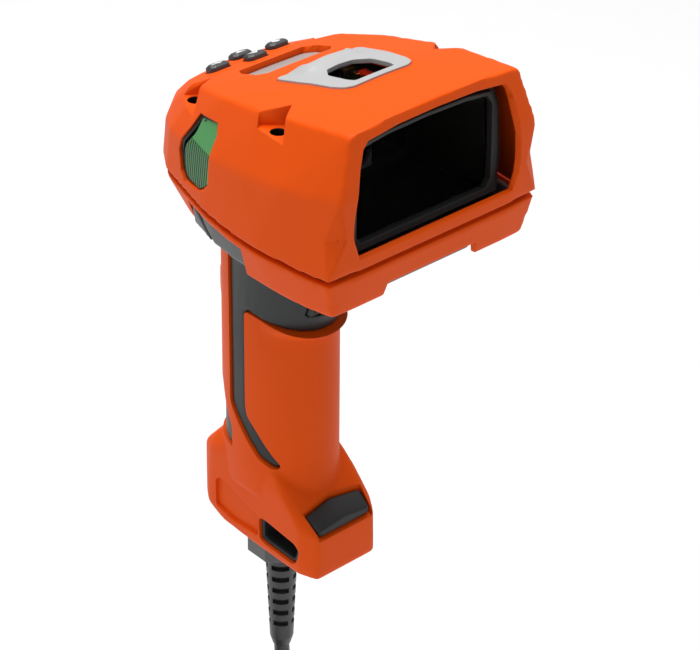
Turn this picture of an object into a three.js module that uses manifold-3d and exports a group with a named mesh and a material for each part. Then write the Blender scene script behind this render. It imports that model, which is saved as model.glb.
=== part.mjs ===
// A corded pistol-grip code reader: a hooded imaging head on an oval handle, with a squared foot
// that carries the cable gland. Millimetres, +Z up, the reading window faces -Y.
// The origin is the middle of the grip, on the axis of the handle.
import * as THREE from 'three';
import { ConvexGeometry } from 'three/addons/geometries/ConvexGeometry.js';
import { mergeVertices } from 'three/addons/utils/BufferGeometryUtils.js';
import Module from 'manifold-3d';

const wasm = await Module();
wasm.setup();

// ---------------------------------------------------------------- driving dimensions
const WALL = 2.6;              // moulded wall of the head
const GAP = 0.3;               // clearance between pieces that touch
const SPLIT_Z = 89.0;          // lower rim of the upper housing
const GROOVE = 1.1;            // open parting groove below that rim
const BELT_FRONT_Z = 115.3;    // the crease round the head, at the front
const BELT_SLOPE = 0.142;      // and how fast it falls toward the back
const FRONT_Y = -72.2;         // front face of the head
const DECK_TILT = Math.atan(0.35);   // slope of the rear deck that carries the keys

const GRIP_X = 17.0;           // half width of the oval handle
const GRIP_Y = 21.5;           // half depth of the oval handle
const SKIN = 2.4;              // orange shell over the black core
const GRIP_TOP_Z = 76.0;       // the core meets the head here
const LIP_SLOPE = 0.22;        // the front panel's top edge falls toward the front

const FOOT_HALF = 15.2;        // half width of the foot
const FOOT_FRONT_Y = -33.3;
const FOOT_BOTTOM_Z = -56.4;

const CORD_D = 5.5;            // cable diameter
const BOOT_TOP_Z = -66.6;
const BOOT_END_Z = -105.6;
const HANK_FOLD = 6 * CORD_D;  // width of the hank's end loops
const HANK_RUN = 16 * CORD_D;  // straight runs of the hank
const HANK_LAYERS = 4;
const HANK_TOP_Z = -122.4;

const KEY = { wide: 7.6, deep: 5.0, proud: 1.6 };

// ---------------------------------------------------------------- helpers
const v = (x, y, z) => new THREE.Vector3(x, y, z);
const mirrored = (points) => points.flatMap(([x, y, z]) => [v(x, y, z), v(-x, y, z)]);

/** A closed three.js geometry as a manifold solid. */
function solid(geometry) {
  const bare = geometry.index ? geometry.toNonIndexed() : geometry.clone();
  bare.deleteAttribute('normal');
  bare.deleteAttribute('uv');
  const merged = mergeVertices(bare, 1e-4);
  return new wasm.Manifold(new wasm.Mesh({
    numProp: 3,
    vertProperties: new Float32Array(merged.attributes.position.array),
    triVerts: new Uint32Array(merged.index.array),
  }));
}

/** A manifold solid as a three.js geometry. */
function geometryOf(body) {
  const mesh = body.getMesh();
  const geometry = new THREE.BufferGeometry();
  geometry.setAttribute('position', new THREE.BufferAttribute(mesh.vertProperties, 3));
  geometry.setIndex(new THREE.BufferAttribute(mesh.triVerts, 1));
  geometry.computeVertexNormals();
  return geometry;
}

const hull = (points) => solid(new ConvexGeometry(points));
const symmetricHull = (points) => hull(mirrored(points));

/** A box given by its lowest and highest corners. */
function block([x0, y0, z0], [x1, y1, z1]) {
  const geometry = new THREE.BoxGeometry(x1 - x0, y1 - y0, z1 - z0);
  geometry.translate((x0 + x1) / 2, (y0 + y1) / 2, (z0 + z1) / 2);
  return solid(geometry);
}

/** A round bar between two points. */
function bar(from, to, radius, sides = 20, radiusTo = radius) {
  const axis = v(...to).sub(v(...from));
  const geometry = new THREE.CylinderGeometry(radiusTo, radius, axis.length(), sides);
  geometry.applyQuaternion(new THREE.Quaternion().setFromUnitVectors(v(0, 1, 0), axis.clone().normalize()));
  const middle = v(...from).addScaledVector(axis, 0.5);
  geometry.translate(middle.x, middle.y, middle.z);
  return solid(geometry);
}

/** An outline drawn on one plane and pushed along the third axis, from low to high. */
function prism(outline, axis, low, high) {
  const shape = new THREE.Shape(outline.map(([a, b]) => new THREE.Vector2(a, b)));
  const geometry = new THREE.ExtrudeGeometry(shape, { depth: high - low, bevelEnabled: false });
  geometry.translate(0, 0, low);
  if (axis === 'x') {
    geometry.applyMatrix4(new THREE.Matrix4().makeBasis(v(0, 1, 0), v(0, 0, 1), v(1, 0, 0)));
  } else if (axis === 'y') {
    geometry.applyMatrix4(new THREE.Matrix4().makeBasis(v(1, 0, 0), v(0, 0, 1), v(0, -1, 0)));
  }
  return solid(geometry);
}

/** An outline given for x >= 0 from top to bottom, closed by its mirror image. */
const closeOutline = (half) => [...half, ...half.filter(([x]) => x > 0).reverse().map(([x, z]) => [-x, z])];

/** A closed outline moved outward (or inward, if negative) by a distance on every side. */
function offset(outline, distance) {
  const count = outline.length;
  const area = outline.reduce((sum, [x, y], i) => {
    const [nx, ny] = outline[(i + 1) % count];
    return sum + x * ny - nx * y;
  }, 0);
  const outward = Math.sign(area) * distance;
  const normal = ([x0, y0], [x1, y1]) => {
    const length = Math.hypot(x1 - x0, y1 - y0);
    return [(y1 - y0) / length, (x0 - x1) / length];
  };
  return outline.map((here, i) => {
    const [ax, ay] = normal(outline[(i + count - 1) % count], here);
    const [bx, by] = normal(here, outline[(i + 1) % count]);
    const miter = outward / Math.max(0.35, 1 + ax * bx + ay * by);
    return [here[0] + (ax + bx) * miter, here[1] + (ay + by) * miter];
  });
}

/** An upright oval column, straight or flared: [z, halfX, halfY, centreY] per level. */
function oval(levels, sides = 40) {
  const points = levels.flatMap(([z, a, b, y = 0]) => Array.from({ length: sides }, (_, i) => {
    const turn = (i / sides) * 2 * Math.PI;
    return v(a * Math.cos(turn), y + b * Math.sin(turn), z);
  }));
  return hull(points);
}

const object = new THREE.Group();
const finishes = {
  orange: { color: 0xe8521a, roughness: 0.42, metalness: 0 },
  darkGrey: { color: 0x55585b, roughness: 0.5, metalness: 0 },
  black: { color: 0x26282a, roughness: 0.6, metalness: 0 },
  lightGrey: { color: 0xd4d4d4, roughness: 0.4, metalness: 0 },
  green: { color: 0x589b5f, roughness: 0.25, metalness: 0 },
  board: { color: 0x1f6b3a, roughness: 0.5, metalness: 0 },
  amber: { color: 0x7a4a12, roughness: 0.1, metalness: 0 },
  glass: { color: 0x8c979b, roughness: 0.05, metalness: 0 },
  steel: { color: 0xb9bcc0, roughness: 0.3, metalness: 1 },
  cable: { color: 0x37393b, roughness: 0.55, metalness: 0 },
};

/** One named piece in its finish. */
function add(name, body, finish, parent = object) {
  const geometry = body.isBufferGeometry ? body : geometryOf(body);
  const mesh = new THREE.Mesh(geometry, new THREE.MeshStandardMaterial(finishes[finish]));
  mesh.name = name;
  parent.add(mesh);
  return mesh;
}

// ---------------------------------------------------------------- head envelope
// Half outlines of the head: [half width, y] at the rim, and at the belt crease.
const RIM = [
  [31.3, FRONT_Y], [42.8, -71.3], [44.6, -62.3], [46.5, -41.7], [45.3, -26], [43.3, -14],
  [39.7, -0.8], [35.6, 13.2], [29.5, 22.5], [18, 31], [0, 34],
];
const BELT = [
  [39.5, -73.0], [42.0, -62], [43.6, -50], [43.4, -33], [41.5, -16], [38.2, 0],
  [34.3, 12.5], [28.5, 21.8], [17.5, 30], [0, 33],
];
const SHOULDER = [
  [33.6, -70.3, 133.8], [35.3, -45.6, 130.4], [35.4, -33, 127.9], [32.8, -12, 123.6],
  [28.6, 3.7, 119.6], [25.5, 12, 115.8], [20, 20.2, 112.8], [0, 22.5, 113.4],
  [26, 20, 108], [20, 27, 106], [0, 29, 106.5],
];
const CROWN = [
  [0, -70.3, 135.6], [0, -45, 133.1], [0, -33, 130.9], [0, -17, 126.6], [0, 0, 121.2], [0, 12, 117],
  [18, -70.3, 135.2], [18, -45, 132.4], [18, -33, 130.0],
];
const beltZ = (y) => BELT_FRONT_Z - BELT_SLOPE * (y + 73);
const ABOVE_RIM = [
  ...BELT.map(([x, y]) => [x, y, beltZ(y)]),
  ...SHOULDER,
  ...CROWN,
];
const headOuter = symmetricHull([...RIM.map(([x, y]) => [x, y, SPLIT_Z]), ...ABOVE_RIM]);

/** The head's envelope drawn in by a distance on every side, open below the rim. */
function headInset(distance) {
  const middleY = -22;
  const drawIn = ([x, y, z]) => {
    const reach = Math.hypot(x, y - middleY);
    const keep = reach > 1 ? (reach - distance * 1.04) / reach : 1;
    return [x * keep, middleY + (y - middleY) * keep, z];
  };
  const roof = ABOVE_RIM.map(drawIn).map(([x, y, z]) => [x, y, z > 105 ? z - distance * 1.02 : z]);
  const floor = RIM.map(([x, y]) => drawIn([x, y, 60]));
  return symmetricHull([...floor, ...roof]);
}
const headInner = headInset(WALL);

/** A sheet that follows the roof of the head, between two depths below it. */
function roofSheet(outline, depthTop, depthBottom) {
  const column = prism(outline, 'z', 80, 150);
  const above = headOuter.translate(0, 0, -depthTop);
  return column.intersect(above).subtract(headOuter.translate(0, 0, -depthBottom));
}

// ---------------------------------------------------------------- openings of the upper housing
const HOOD_FRONT = [
  [0, 133.0], [16, 132.6], [27.5, 131.2], [29.8, 129.0], [32.2, 120.8], [35.0, 103], [31.8, 93.2],
];
const HOOD_BACK = [
  [0, 131.2], [16, 130.9], [27.0, 129.6], [28.9, 127.4], [30.2, 112], [30.6, 103], [29.8, 94.2],
];
const hoodCut = symmetricHull([
  ...HOOD_FRONT.map(([x, z]) => [x, FRONT_Y - 2.2, z]),
  ...HOOD_BACK.map(([x, z]) => [x, FRONT_Y + 5.6, z]),
]).add(symmetricHull([
  ...HOOD_BACK.map(([x, z]) => [x, FRONT_Y + 5.4, z]),
  ...HOOD_BACK.map(([x, z]) => [x, FRONT_Y + 9, z]),
]));

// The dented corners at the lower front, either side of the hood.
const cornerDent = (side) => hull([
  v(side * 39.3, -74.2, 114.6), v(side * 36.4, -74.2, 101.6), v(side * 42.7, -73.4, 89.4),
  v(side * 39.5, -72.4, 114.8), v(side * 36.6, -71.6, 101.6), v(side * 42.6, -71.0, 89.2),
  v(side * 42.8, -68.0, 101.8), v(side * 50, -74, 101.8),
]);

// Screw pockets in the shoulders: a wedge open to the side, with a flat floor.
const POCKETS = [
  { plan: [[28.3, -38.6], [35.4, -32.2], [50, -43.9], [50, -55.2]], floor: 123.0, screw: [34.0, -39.2] },
  { plan: [[20.4, 8.2], [28.2, 4.0], [48, -7], [48, 16.5], [27.0, 13.8]], floor: 112.0, screw: [26.4, 8.9] },
];
const mirrorPlan = (plan) => plan.map(([x, y]) => [-x, y]).reverse();
const onBothSides = (make) => [1, -1].map((side) => make(side));
const pocketCuts = POCKETS.flatMap(({ plan, floor }) => onBothSides((side) => (
  prism(side > 0 ? plan : mirrorPlan(plan), 'z', floor, 145))));
const SCREW_HEAD_R = 2.3;
const SCREW_SUNK = 4.2;        // from the pocket's floor down to the seat of the screw head
const SCREW_REACH = 8.6;       // and down to the tip of the screw
const BOSS_WALL = 1.6;
const pocketBosses = POCKETS.flatMap(({ plan, floor, screw: [x, y] }) => onBothSides((side) => {
  const grown = plan.map(([px, py]) => [px > 45 ? px : px - 1.6, py + (py > y ? 2.2 : -2.2)]);
  const lining = prism(side > 0 ? grown : mirrorPlan(grown), 'z', floor - 3.6, 145);
  const bossRadius = SCREW_HEAD_R + GAP + BOSS_WALL;
  const boss = bar([side * x, y, floor - SCREW_SUNK - 2], [side * x, y, floor + 1], bossRadius, 20);
  return lining.add(boss).intersect(headOuter);
}));
const screwHoles = POCKETS.flatMap(({ floor, screw: [x, y] }) => onBothSides((side) => (
  bar([side * x, y, floor - SCREW_SUNK - GAP], [side * x, y, floor + 1], SCREW_HEAD_R + GAP, 16)
    .add(bar([side * x, y, floor - SCREW_REACH - GAP], [side * x, y, floor], 1.5, 12)))));

// Status window in each flank, an eight-sided hole that crosses the belt crease: [y, z].
const FLANK_WINDOW = [
  [-2.8, 114.6], [-14.2, 116.6], [-15.8, 113.6], [-15.4, 107.3], [-16.0, 98.4], [-13.8, 96.0],
  [-10.4, 93.8], [-0.6, 92.3], [2.0, 94.4], [4.0, 100.9], [3.0, 104.8], [-0.6, 110.3],
];
const aroundFlank = (grow) => offset(FLANK_WINDOW, grow);

// Bezel round the sight window, in plan.
const BEZEL_HALF = [
  [0, -21.4], [7.5, -21.8], [11.2, -18.6], [15.4, -17.4], [16.8, -18.6], [16.4, -29],
  [15.0, -41], [13.6, -44.8], [10.8, -46.4], [0, -46.6],
];
const SIGHT_HALF = [[0, -24.6], [6.6, -25.4], [9.6, -31.4], [9.0, -40.5], [8.0, -43.6], [0, -43.8]];

// Display in a shallow slot, in plan.
const DISPLAY_HALF = [[0, 4.2], [12.8, 4.2], [15.2, 0.2], [15.2, -6.8], [12.6, -9.4], [0, -9.4]];
const SCOOP = { halfWidth: 9.4, front: -20.6, back: -16.2, depth: 2.0 };

// Keys on the tilted rear deck, placed by the middle of each.
const KEY_PLACES = [
  { name: 'key_left', x: -12.0, y: 15.4 }, { name: 'key_rear', x: 0, y: 19.0 },
  { name: 'key_front', x: 0, y: 11.6 }, { name: 'key_right', x: 12.0, y: 15.4 },
];
const deckZ = (y) => 121.05 - 0.35 * y;
const keyPlan = (grow) => {
  const [a, b, c] = [KEY.wide / 2 + grow, KEY.deep / 2 + grow, 1.2];
  const half = [[a - c, b], [a, b - c], [a, c - b], [a - c, -b]];
  return closeOutline(half).reverse();
};
/** A key-shaped column standing square to the deck, between two heights over it. */
function onDeck(body, x, y) {
  return body.rotate([-THREE.MathUtils.radToDeg(DECK_TILT), 0, 0]).translate(x, y, deckZ(y));
}
const keyHoles = KEY_PLACES.map(({ x, y }) => onDeck(prism(keyPlan(GAP), 'z', -9, 9), x, y));

// ---------------------------------------------------------------- upper housing
let upper = headOuter.subtract(headInner);
for (const boss of pocketBosses) upper = upper.add(boss);
const cuts = [
  hoodCut, cornerDent(1), cornerDent(-1), ...pocketCuts, ...screwHoles, ...keyHoles,
  prism(aroundFlank(0), 'x', -60, -24),
  prism(aroundFlank(0), 'x', 24, 60),
  prism(closeOutline(SIGHT_HALF), 'z', 118, 145),
  roofSheet(offset(closeOutline(BEZEL_HALF), GAP), -4, 1.3),
  prism(closeOutline(DISPLAY_HALF), 'z', 112, 145),
  roofSheet([
    [-SCOOP.halfWidth, SCOOP.front], [SCOOP.halfWidth, SCOOP.front],
    [SCOOP.halfWidth - 2, SCOOP.back], [2 - SCOOP.halfWidth, SCOOP.back],
  ], -4, SCOOP.depth),
];
for (const cut of cuts) upper = upper.subtract(cut);
add('upper_housing', upper, 'orange');

// ---------------------------------------------------------------- lower bumper
// A band under the parting groove: deep at the front and the back, thin along the flanks.
const BAND_Z = SPLIT_Z - GROOVE;
const BUMPER_BOTTOM_Z = 74.6;
const bumperOuter = symmetricHull([
  ...RIM.map(([x, y]) => [x - 0.2 > 0 ? x - 0.2 : 0, y, BAND_Z]),
  [30.3, -69.6, BUMPER_BOTTOM_Z], [39.2, -69.2, BUMPER_BOTTOM_Z], [41.4, -58.7, BUMPER_BOTTOM_Z],
  [42.4, -46, BUMPER_BOTTOM_Z], [42.4, -33.9, BUMPER_BOTTOM_Z], [39.0, -14, 76.4], [34.6, 2, 77.4],
  [30, 12, 79], [23, 20, 80], [0, 27, 80],
]);
const rimInside = RIM.map(([x, y]) => {
  const reach = Math.hypot(x, y + 22);
  const keep = (reach - WALL - 0.4) / reach;
  return [x * keep, (y + 22) * keep - 22];
});
const bumperInner = symmetricHull([
  ...rimInside.map(([x, y]) => [x, y, BAND_Z + 1]),
  [28, -66.4, 70], [37.6, -65.8, 70], [39.6, -46, 70], [39.4, -30, 70], [36, -12, 70],
  [31, 2, 70], [26, 12, 70], [19, 18, 70], [0, 22, 70],
]);
const FLANK_STEP_Y = -34.4;
const BACK_STEP_Y = -1.6;
const bandRelief = symmetricHull([
  [60, FLANK_STEP_Y, 85.4], [60, BACK_STEP_Y, 85.9], [60, FLANK_STEP_Y, 60], [60, BACK_STEP_Y, 60],
]);
const noseCut = prism([[-18.1, 79.6], [-20.4, 70], [20.4, 70], [18.1, 79.6]], 'y', 60, 80);
const backCut = block([-16, 12, 60], [16, 40, 82.4]);
let bumper = bumperOuter;
for (const cut of [bumperInner, bandRelief, noseCut, backCut]) bumper = bumper.subtract(cut);
add('lower_bumper', bumper, 'orange');

// ---------------------------------------------------------------- under housing and rear cover
// A grey pan that closes the head from below, split across by an open seam behind the handle.
const PAN_TOP_Z = BAND_Z - 0.4;
const panOuter = symmetricHull([
  ...rimInside.map(([x, y]) => [x * 0.985, (y + 22) * 0.985 - 22, PAN_TOP_Z]),
  [27, -65.4, 78.6], [36.4, -65.0, 78.6], [38.8, -46, 77.0], [38.8, -30, 76.6], [35.6, -12, 76.6],
  [30.4, 2, 77.2], [25.4, 12, 78.4], [18, 18, 79.4], [0, 21, 79.4],
]);
const panInner = symmetricHull([
  ...rimInside.map(([x, y]) => [x * 0.92, (y + 22) * 0.92 - 22, PAN_TOP_Z + 1]),
  [24, -60, 81.4], [33, -59, 81.4], [36.0, -44, 79.4], [36.0, -29, 79.2], [32.8, -12, 79.2],
  [27.6, 0, 79.8], [22.4, 9, 81.0], [16, 14, 82], [0, 17, 82],
]);
// Between the deep ends of the bumper the pan stands out almost to the band above it.
const panFlanks = symmetricHull([
  [42.2, -34, 85.0], [41.8, -26, 85.0], [40.4, -14, 85.0], [37.6, -1.9, 85.0],
  [41.2, -34, 76.6], [41.0, -26, 76.6], [39.4, -14, 76.6], [36.4, -1.9, 77.2],
]).intersect(block([-60, FLANK_STEP_Y + GAP, 60], [60, BACK_STEP_Y - GAP, 85]));
// Behind the nose cut-out of the bumper a chin hangs down.
const chin = block([-19.4, -66.2, 75.2], [19.4, -62.6, 84]);
let pan = panOuter.add(panFlanks).add(chin).subtract(panInner);
const SCREW_POST_R = 2.4;
const PAN_FLOOR_Z = 78.6;
for (const { floor, screw } of POCKETS) {
  for (const side of [1, -1]) {
    const [x, y] = [side * (screw[0] - (screw[1] < 0 ? 0.8 : 0)), screw[1]];
    pan = pan.add(bar([x, y, PAN_FLOOR_Z], [x, y, floor - 10], SCREW_POST_R, 14));
  }
}
const SEAM_WIDTH = 1.4;
const seamLine = (shift) => [[-35.6 + shift, 60], [-2.2 + shift, 87], [-2.2 + shift, 130]];
const aheadOfSeam = prism([[-90, 60], ...seamLine(0), [-90, 130]], 'x', -60, 60);
const behindSeam = prism([[90, 130], ...seamLine(SEAM_WIDTH).reverse(), [90, 60]], 'x', -60, 60);
add('under_housing', pan.intersect(aheadOfSeam), 'darkGrey');
add('rear_cover', pan.intersect(behindSeam), 'darkGrey');

// ---------------------------------------------------------------- reading window and chamber
const GASKET_Y = FRONT_Y + 5.8;
const GASKET_OUT = [[0, 130.0], [16, 129.7], [27.6, 128.2], [31.0, 121], [32.2, 104], [31.4, 90.4]];
const GASKET_IN = [
  [0, 127.2], [15.5, 126.8], [24.6, 125.6], [26.8, 122.6], [27.3, 108], [27.3, 96.6], [25.4, 94.0],
];
const GASKET_STEP = [[0, 128.6], [16, 128.2], [26.2, 126.9], [29.2, 121], [30.0, 104], [29.0, 91.9]];
add('window_gasket', prism(closeOutline(GASKET_STEP).reverse(), 'y', -(GASKET_Y + 1.4), -GASKET_Y)
  .add(prism(closeOutline(GASKET_OUT).reverse(), 'y', -(GASKET_Y + 2.6), -(GASKET_Y + 1.4)))
  .subtract(prism(closeOutline(GASKET_IN).reverse(), 'y', -(GASKET_Y + 5), -(GASKET_Y - 5))), 'black');
const GLASS_Y = GASKET_Y + 2.9;
const GLASS_HALF = [[0, 129], [15, 128.6], [26.6, 127.3], [29.6, 121], [30.6, 104], [30.0, 91]];
add('window_glass', prism(closeOutline(GLASS_HALF).reverse(), 'y', -(GLASS_Y + 1.2), -GLASS_Y), 'glass');

const CHAMBER_Y = GLASS_Y + 1.5;
const CHAMBER_BACK_Y = -27;
const chamberOuter = symmetricHull([
  ...GLASS_HALF.map(([x, z]) => [x, CHAMBER_Y, z]),
  [0, CHAMBER_BACK_Y, 119.5], [22, CHAMBER_BACK_Y, 117.5], [28.5, CHAMBER_BACK_Y, 110], [30, CHAMBER_BACK_Y, 86.5],
]);
const chamberInner = symmetricHull([
  ...GLASS_HALF.map(([x, z]) => [x * 0.93, CHAMBER_Y - 1, z > 110 ? z - 2.4 : z + 1.9]),
  [0, CHAMBER_BACK_Y - 2.2, 117], [20.6, CHAMBER_BACK_Y - 2.2, 115.2], [26.2, CHAMBER_BACK_Y - 2.2, 108.6],
  [27.6, CHAMBER_BACK_Y - 2.2, 88.4],
]);
const LENS_Z = 103;
const cameraHole = block([-9.3, -40, LENS_Z - 9.3], [9.3, -20, LENS_Z + 9.3]);
add('illumination_chamber', chamberOuter.subtract(chamberInner).subtract(cameraHole), 'black');
const lensSeat = bar([0, -40, LENS_Z], [0, -20, LENS_Z], 6.6, 24);
add('camera_housing', block([-9, -33, LENS_Z - 9], [9, -19, LENS_Z + 9]).subtract(lensSeat), 'darkGrey');
add('lens_barrel', bar([0, -36, LENS_Z], [0, -20.5, LENS_Z], 6.3, 24)
  .subtract(bar([0, -37, LENS_Z], [0, -31, LENS_Z], 4.9, 24)), 'black');
add('lens_glass', bar([0, -33.4, LENS_Z], [0, -31.3, LENS_Z], 4.6, 24), 'glass');
for (const [side, name] of [[-1, 'left'], [1, 'right']]) {
  const x = side * 18.6;
  add(`led_board_${name}`, block([x - 7.4, -31, LENS_Z - 10], [x + 7.4, -29.6, LENS_Z + 5]), 'board');
}
add('main_board', block([-29, -17.6, 85], [29, -16, 114.5]), 'board');
add('image_sensor', block([-6, -18.7, LENS_Z - 6], [6, -17.9, LENS_Z + 6]), 'black');
add('beeper', bar([18, -15.6, 98], [18, -9.6, 98], 6, 20), 'black');

// ---------------------------------------------------------------- roof: bezel, sight window, display
add('top_bezel', roofSheet(closeOutline(BEZEL_HALF), -0.9, 1.0)
  .subtract(prism(closeOutline(SIGHT_HALF), 'z', 110, 150)), 'lightGrey');
add('sight_window', roofSheet(offset(closeOutline(SIGHT_HALF), -GAP), 1.8, 2.9), 'amber');
const sensorTilt = 8;
const sensorPlate = block([-8.6, -8.4, 0], [8.6, 8.4, 1.4]).rotate([-sensorTilt, 0, 0]).translate(0, -34, 123.6);
add('sight_board', sensorPlate, 'board');
add('sight_screw', bar([5.2, -30.6, 125.1], [5.2, -30.6, 126.3], 1.5, 16), 'steel');
add('display_glass', roofSheet(offset(closeOutline(DISPLAY_HALF), -GAP), 2.6, 3.8), 'glass');
const displayBody = block([-16.5, -8.6, -2.8], [16.5, 5.2, 0])
  .rotate([-THREE.MathUtils.radToDeg(DECK_TILT), 0, 0]).translate(0, -1.5, 116.6);
add('display_module', displayBody, 'black');

// ---------------------------------------------------------------- status windows in the flanks
for (const [side, name] of [[-1, 'left'], [1, 'right']]) {
  const span = side < 0 ? [-60, -24] : [24, 60];
  const frame = headInset(0.8).subtract(headInset(4.6)).intersect(prism(aroundFlank(-GAP), 'x', ...span))
    .subtract(prism(aroundFlank(-1.7), 'x', -70, 70));
  add(`status_frame_${name}`, frame, 'black');
  const lens = headInset(1.6).subtract(headInset(3.4)).intersect(prism(aroundFlank(-2), 'x', ...span));
  add(`status_lens_${name}`, lens, 'green');
}

// ---------------------------------------------------------------- keys
const keyBody = hull([
  ...keyPlan(0).flatMap(([x, y]) => [v(x, y, -4.4), v(x, y, 0.9)]),
  ...keyPlan(-0.7).map(([x, y]) => v(x, y, KEY.proud)),
]);
for (const { name, x, y } of KEY_PLACES) add(name, onDeck(keyBody, x, y), 'black');
add('key_mat', onDeck(block([-17, -8.6, -6.6], [17, 6.4, -5.5]), 0, 15.6), 'darkGrey');

// ---------------------------------------------------------------- handle
// The black core is an oval bar that flares forward under the head.
const CORE = [GRIP_X - SKIN, GRIP_Y - SKIN];
const RIB_INSET = 0.5;         // how far the core's ribs stay below the shell's surface
const coreBody = oval([[-26, ...CORE], [36, ...CORE], [GRIP_TOP_Z, ...CORE]], 36);
// Where the stripe and the neck show, the core stands out nearly flush with the shell: [y, z].
const STRIPE = [
  [6.6, 90], [6.6, -2], [5.3, -3.9], [-7.2, -18.6], [-11.6, -21.2], [-14.2, -20.8], [-14.9, -19.2],
  [-12.6, -16.4], [-6.7, -8], [-2.6, -3.2], [-1.9, 0.5], [-1.9, 90],
];
// A second window in the shell shows the core round the heel of the grip: [y, z].
const HEEL = [[30, 6], [14, 1.5], [9.5, -7], [5.8, -12], [5.5, -20.5], [30, -20.5]];
const ribSize = [GRIP_X - RIB_INSET, GRIP_Y - RIB_INSET];
const flushOval = oval([[-30, ...ribSize], [80, ...ribSize]], 36);
const flushRib = (outline) => prism(offset(outline, -GAP).reverse(), 'x', -30, 30).intersect(flushOval);
const coreRibs = flushRib(STRIPE).add(flushRib(HEEL))
  .intersect(block([-40, -40, -24], [40, 40, GRIP_TOP_Z - 0.2]));
const NECK_TOP_Z = 75.8;
const LIP_Z = 38;
// The top edge of the front panel, from the stripe forward: [y, z].
const lipEdge = (y) => [y, LIP_Z + LIP_SLOPE * y];
const PANEL_TOP = [[-1.9, 35.9], [-3.0, 37.0], lipEdge(-5.6), lipEdge(-60)];
const panelRoom = prism(offset([...PANEL_TOP, [-60, -10], [-1.9, -10]], GAP), 'x', -40, 40);
const neck = oval([
  [30, GRIP_X - 0.5, GRIP_Y - 0.5], [56, GRIP_X - 0.2, GRIP_Y + 1.6, -1.6],
  [NECK_TOP_Z, GRIP_X + 1, GRIP_Y + 10, -10],
], 36).subtract(block([-40, 6.3, -50], [40, 60, 90])).subtract(panelRoom);
const TRIGGER_HALF = 8.4;
const triggerBay = block([-TRIGGER_HALF - 0.5, -60, 41.2], [TRIGGER_HALF + 0.5, -14.6, 72.2]);
const PIN = { y: -23.4, z: 68.2, radius: 1.2 };
const alongPin = (half, radius) => bar([-half, PIN.y, PIN.z], [half, PIN.y, PIN.z], radius, 14);
const switchPocket = block([-4.3, -15, 51.7], [4.3, -9.5, 60.3]);
const core = coreBody.intersect(block([-40, -40, -26], [40, 40, NECK_TOP_Z])).add(coreRibs)
  .add(neck).subtract(triggerBay).subtract(switchPocket)
  .subtract(alongPin(13.6, PIN.radius + GAP));
add('handle_core', core, 'black');

// ---------------------------------------------------------------- handle shell with the foot
const footOuter = symmetricHull([
  [FOOT_HALF, 20.5, -51.5], [FOOT_HALF, 11, -55.9], [FOOT_HALF, -6, FOOT_BOTTOM_Z], [FOOT_HALF, -26, FOOT_BOTTOM_Z],
  [12.6, FOOT_FRONT_Y, FOOT_BOTTOM_Z], [FOOT_HALF, 19, -28], [FOOT_HALF, -16.2, -33.8], [FOOT_HALF, -27.3, -36.7],
  [12.2, FOOT_FRONT_Y, -39.3], [11.8, -27.4, -34.6], [9, -22, -31.5], [14.6, 12, -23.5], [12, 19, -23],
  [12.6, 24.6, -50], [12.6, 24.6, -29], [0, 26.4, -50], [0, 26.4, -28.5], [0, 24.5, -55], [12, 22, -55],
  [0, 22, -22.5], [0, -24.6, -33.0], [14.4, -12.4, -21], [FOOT_HALF, -19.5, -29],
]);
const gripOuter = oval([
  [-32, GRIP_X - 0.6, GRIP_Y + 1.4], [-24, GRIP_X, GRIP_Y + 0.4], [-14, GRIP_X, GRIP_Y], [90, GRIP_X, GRIP_Y],
], 44);
const lipSize = [GRIP_X - 0.8, GRIP_Y + 4.6, -2.2];
const fingerLip = oval([[30.6, GRIP_X - 0.8, GRIP_Y - 0.6], [34, ...lipSize], [38, ...lipSize]], 36);
const coreRoom = oval([[-26.4, CORE[0] + GAP, CORE[1] + GAP], [90, CORE[0] + GAP, CORE[1] + GAP]], 36);
const frontTopCut = prism([...PANEL_TOP, [-60, 120], [-1.9, 120]], 'x', -40, 40);
const rearTopCut = block([-60, -60, 75.6], [60, 60, 130]);
const stripeCut = prism(STRIPE, 'x', -40, 40).add(prism(HEEL, 'x', -40, 40));
const footRoom = block([-10.5, -14, -50], [10.5, 16, -26]).add(bar([0, 0, -60], [0, 0, -48], 6.4, 24));
// Flank recesses of the foot run from the back to the strap slot: [y, z].
const FLANK_RECESS = [[16.4, -39.9], [13.4, -37.8], [-6.2, -43.0], [-6.2, -51.6], [8, -52.6], [16.4, -50.8]];
const RECESS_DEPTH = 0.9;
const flankRecess = [
  prism(FLANK_RECESS, 'x', FOOT_HALF - RECESS_DEPTH, FOOT_HALF + 5),
  prism(FLANK_RECESS, 'x', -FOOT_HALF - 5, RECESS_DEPTH - FOOT_HALF),
];
// The strap slot passes right through the foot: [y, z].
const STRAP_SLOT = [
  [-6.6, -43.7], [-6.9, -52.0], [-9.8, -52.9], [-24.0, -53.2], [-26.0, -51.6], [-27.4, -46.4], [-25.4, -44.2],
  [-9.4, -42.7],
];
const PAD_REAR = { x: 12.5, y: -26.2, z: -34.6 };
const PAD_FRONT = { x: 11.2, y: -32.6, z: -38.4 };
const padBody = symmetricHull([
  [PAD_REAR.x, PAD_REAR.y, PAD_REAR.z + 0.9], [PAD_FRONT.x, PAD_FRONT.y, PAD_FRONT.z + 0.9],
  [PAD_REAR.x, PAD_REAR.y, -38.6], [PAD_FRONT.x, PAD_FRONT.y, -40.1],
  [0, -24.2, PAD_REAR.z + 1.8], [0, -32.4, PAD_REAR.z - 1.3], [0, -24.2, -38.6],
]);
const padPocket = symmetricHull([
  [12.8, -25.8, -38.9], [11.6, -34.6, -40.9], [11.6, -34.6, -30], [12.8, -25.8, -30],
  [0, -23.8, -38.9], [0, -23.8, -30],
]);
const shellSolid = gripOuter.add(fingerLip).intersect(block([-60, -60, -32], [60, 60, 120])).add(footOuter);
const strapHole = prism(STRAP_SLOT, 'x', -40, 40);
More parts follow.
